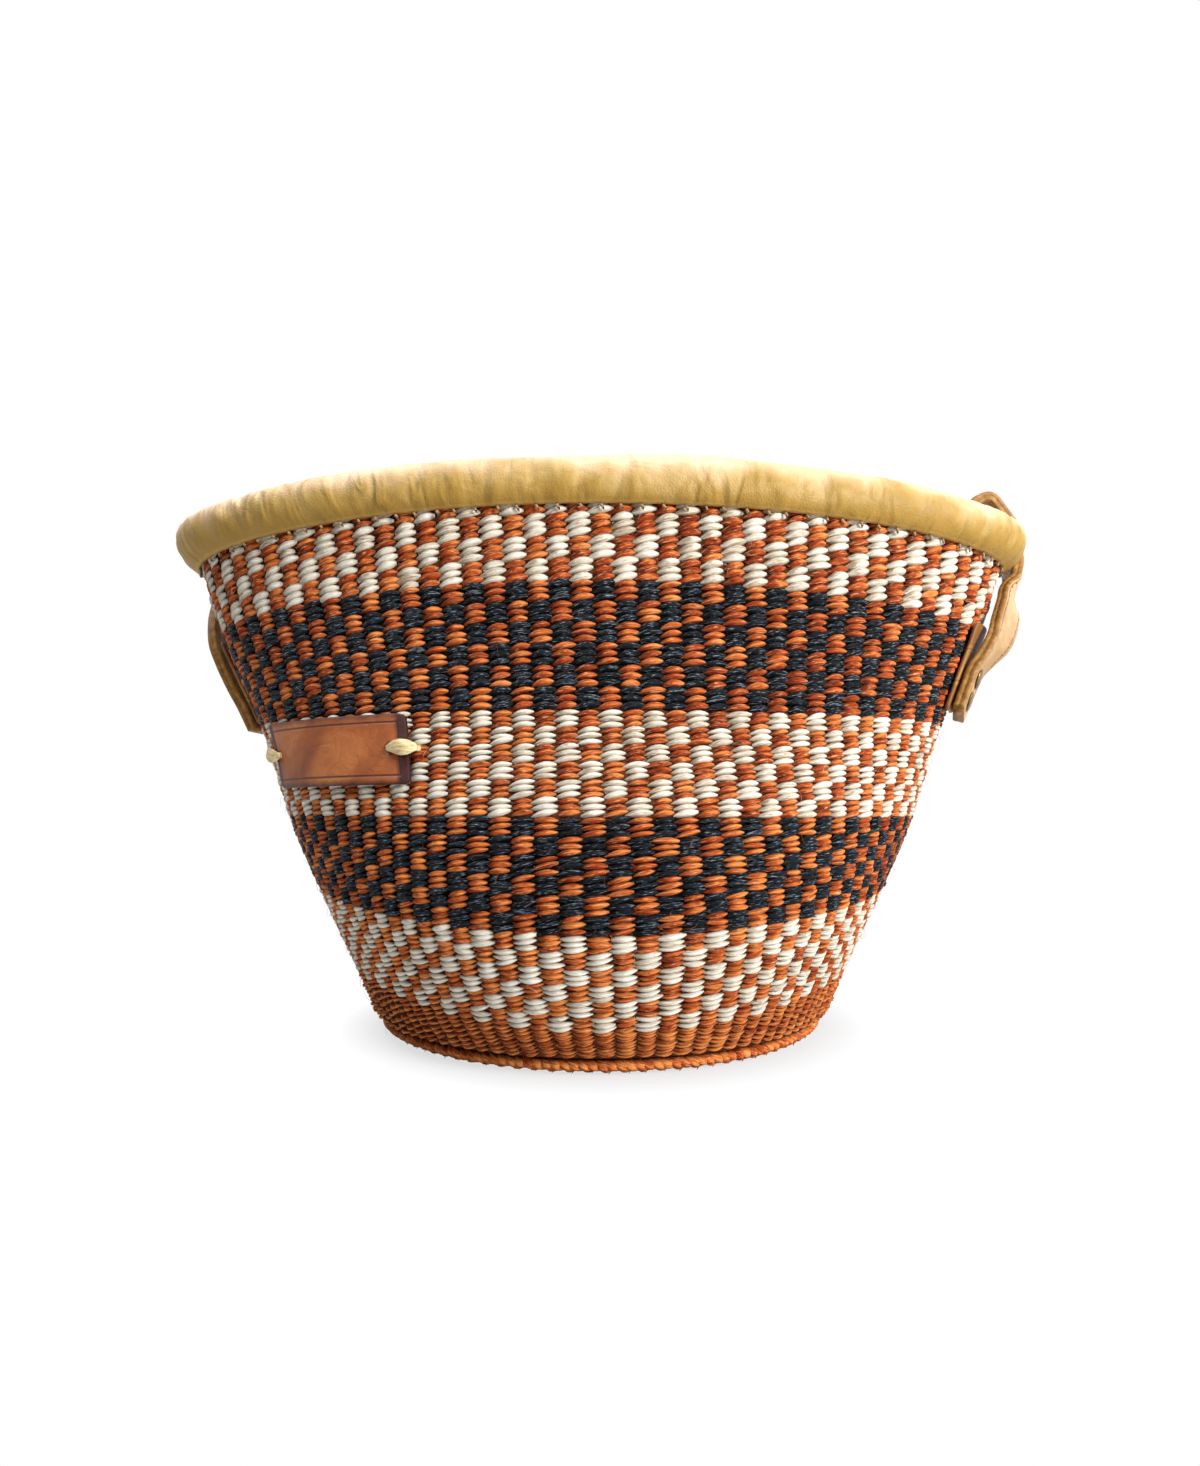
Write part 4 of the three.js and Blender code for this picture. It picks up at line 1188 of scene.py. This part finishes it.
def rivet_piece(name, anchor, height):
    """A domed rivet head outside, a shank, and a washer with its burred end inside."""
    inner = -WALL - BACKING_GAP - BACKING_THICK - SEAT
    outer = STRAP_SEAT + STRAP_THICK + SEAT
    profile = [(outer + out, r) for out, r in RIVET_DOME] + [(inner + out, r) for out, r in RIVET_WASHER]
    middle = anchor_point(anchor, height, 0.0)
    axis = unit(anchor_point(anchor, height, 1.0) - middle)
    side = unit(np.cross(UP, axis))
    sides = 28
    ring = on_circle(around(sides))
    disc = ring[:, :1] * side + ring[:, 1:2] * np.cross(axis, side)
    points = np.concatenate([middle + axis * out + disc * r for out, r in profile])
    faces = [f[::-1] for f in tube_faces(len(profile), sides)]
    return new_object(name, new_mesh(name, points, faces), BRASS)


for anchor, turn in ANCHORS.items():
    foot = ANCHOR_HEIGHTS[anchor]
    behind = -WALL - BACKING_GAP - BACKING_THICK
    for kind, wide, tall, near, thick, corner in [
            ("tab", TAB_WIDE, TAB_HIGH, SEAT, TAB_THICK, 1.4),
            ("backing", BACKING_WIDE, BACKING_HIGH, behind, BACKING_THICK, 2.5)]:
        plate = wall_plate(f"strap_{kind}_leather_{anchor}", AlongWall(foot + tall / 2, turn, wide),
                           foot, tall, near, thick, corner, TAB_LEATHER)
        finish_piece(plate, "strap_leather", f"strap_{kind}_{anchor}")
    for place, step in RIVET_STEPS.items():
        finish_piece(rivet_piece(f"brass_rivet_{anchor}_{place}", anchor, foot + step),
                     "rivet_brass", f"rivet_{anchor}_{place}")


def stray_fibres(name, index, count):
    """Fibres that stand off the yarn of one band, in two pieces of different curl."""
    rng = seeded(71 + index)
    low = LEVELS[index]
    span = LEVELS[index + 1] - low
    level = low + rng.uniform(0.02, 0.98, count) * span
    angle = arc_angles(low + span / 2, rng.uniform(0, 1, count))
    across, slope, face = wall_frame(level, angle)
    turn = rng.uniform(0, TURN, count)[:, None]
    lie = across * np.cos(turn) + slope * np.sin(turn)
    along = unit(lie + face * rng.uniform(0.02, 0.2, count)[:, None])
    long = rng.uniform(2.0, 5.0, count)[:, None]
    points = wall_point(level, angle) + along * (long / 2) - face * 0.15
    yarn = CREAM_YARN if BAND_DYES[index] == "cream" else RUST_YARN
    for half, template in enumerate(fibres):
        part = slice(half * (count // 2), (half + 1) * (count // 2))
        tints = np.clip(rng.normal(0.62, 0.15, count // 2), 0.1, 0.95)
        piece = strands_on(f"stray_fibres_{name}_{half + 1}", points[part], along[part], face[part],
                           long[part], tints, template, yarn, 0.02)
        finish_piece(piece, DYES[BAND_DYES[index]][1])


for band, (name, count) in enumerate([
        ("base", 120), ("low", 150), ("low_navy", 170), ("middle", 180), ("high_navy", 200), ("high", 160)]):
    stray_fibres(name, band, count)


# Camera, floor and light.
def softbox(name, place, aim, size, watts, colour=(1.0, 1.0, 1.0)):
    light = bpy.data.lights.new(name, "AREA")
    light.shape = "RECTANGLE"
    light.size = light.size_y = size
    light.energy = watts
    light.color = colour
    lamp = new_object(name, light)
    lamp.location = place
    x, y, z = -place[0], -place[1], aim - place[2]
    lamp.rotation_euler = (math.atan2(math.hypot(x, y), -z), 0.0, math.atan2(y, x) - math.pi / 2)


def seen(n):
    """One for what the camera sees, also in gloss or through glass, and nought for other light."""
    rays = n.add("ShaderNodeLightPath").outputs
    return n.math("MAXIMUM", rays["Is Camera Ray"],
                  n.math("MAXIMUM", rays["Is Glossy Ray"], rays["Is Transmission Ray"]))


def studio():
    lens = bpy.data.cameras.new("photo view")
    for key, value in {"lens": 20.87, "sensor_width": 36.0, "shift_x": -0.0007, "shift_y": 0.056,
                       "clip_start": 0.01, "clip_end": 20.0}.items():
        setattr(lens, key, value)
    camera = new_object("photo view", lens)
    camera.location = (0.0, -0.272, 0.063)
    camera.rotation_euler = (math.pi / 2, 0.0, 0.0)
    SCENE.camera = camera
    softbox("key softbox", (0.85, -0.75, 0.52), 0.08, 0.45, 21.0, (1.0, 0.99, 0.97))
    softbox("rim softbox", (-0.5, 0.1, 1.05), 0.15, 0.4, 7.0)
    softbox("top softbox", (0.1, 0.0, 1.1), 0.1, 0.7, 4.0)

    SCENE.world = bpy.data.worlds.new("pale studio")
    SCENE.world.use_nodes = True
    n = Nodes(SCENE.world.node_tree)
    background = n.tree.nodes["Background"]
    direct = seen(n)
    n.feed(background, "Color", n.mix(direct, (0.86, 0.87, 0.9, 1), (1, 1, 1, 1)))
    n.feed(background, "Strength", n.span(direct, 0, 1, 0.11, 1.0))

    reach, below, steps = 1.5, 0.0002, 64
    n = Surface("pale floor")
    speck = n.noise(n.place(), 60.0)
    n.feed(n.shader, "Base Color", n.ramp(speck, (0.3, (0.60, 0.60, 0.60, 1)), (0.7, (0.64, 0.64, 0.64, 1))))
    n.feed(n.shader, "Roughness", 0.9)
    white = n.out("ShaderNodeEmission", {"Color": (1, 1, 1, 1), "Strength": 1.0})
    far = n.vector("LENGTH", n.place(), output="Value")
    fade = n.times(seen(n), n.span(far, 0.067, 0.08, 0.7, 1.0))
    blend = n.out("ShaderNodeMixShader", {0: fade, 1: n.shader.outputs[0], 2: white})
    n.feed(n.tree.nodes["Material Output"], "Surface", blend)
    disc = on_circle(around(steps), reach, -below) / MM
    mesh = new_mesh("pale floor", disc, [range(steps)], False)
    floor = new_object("pale floor", mesh, n.material)


studio()
for spare in [outer_strand, inner_strand, stitch] + fibres:
    bpy.data.objects.remove(spare)
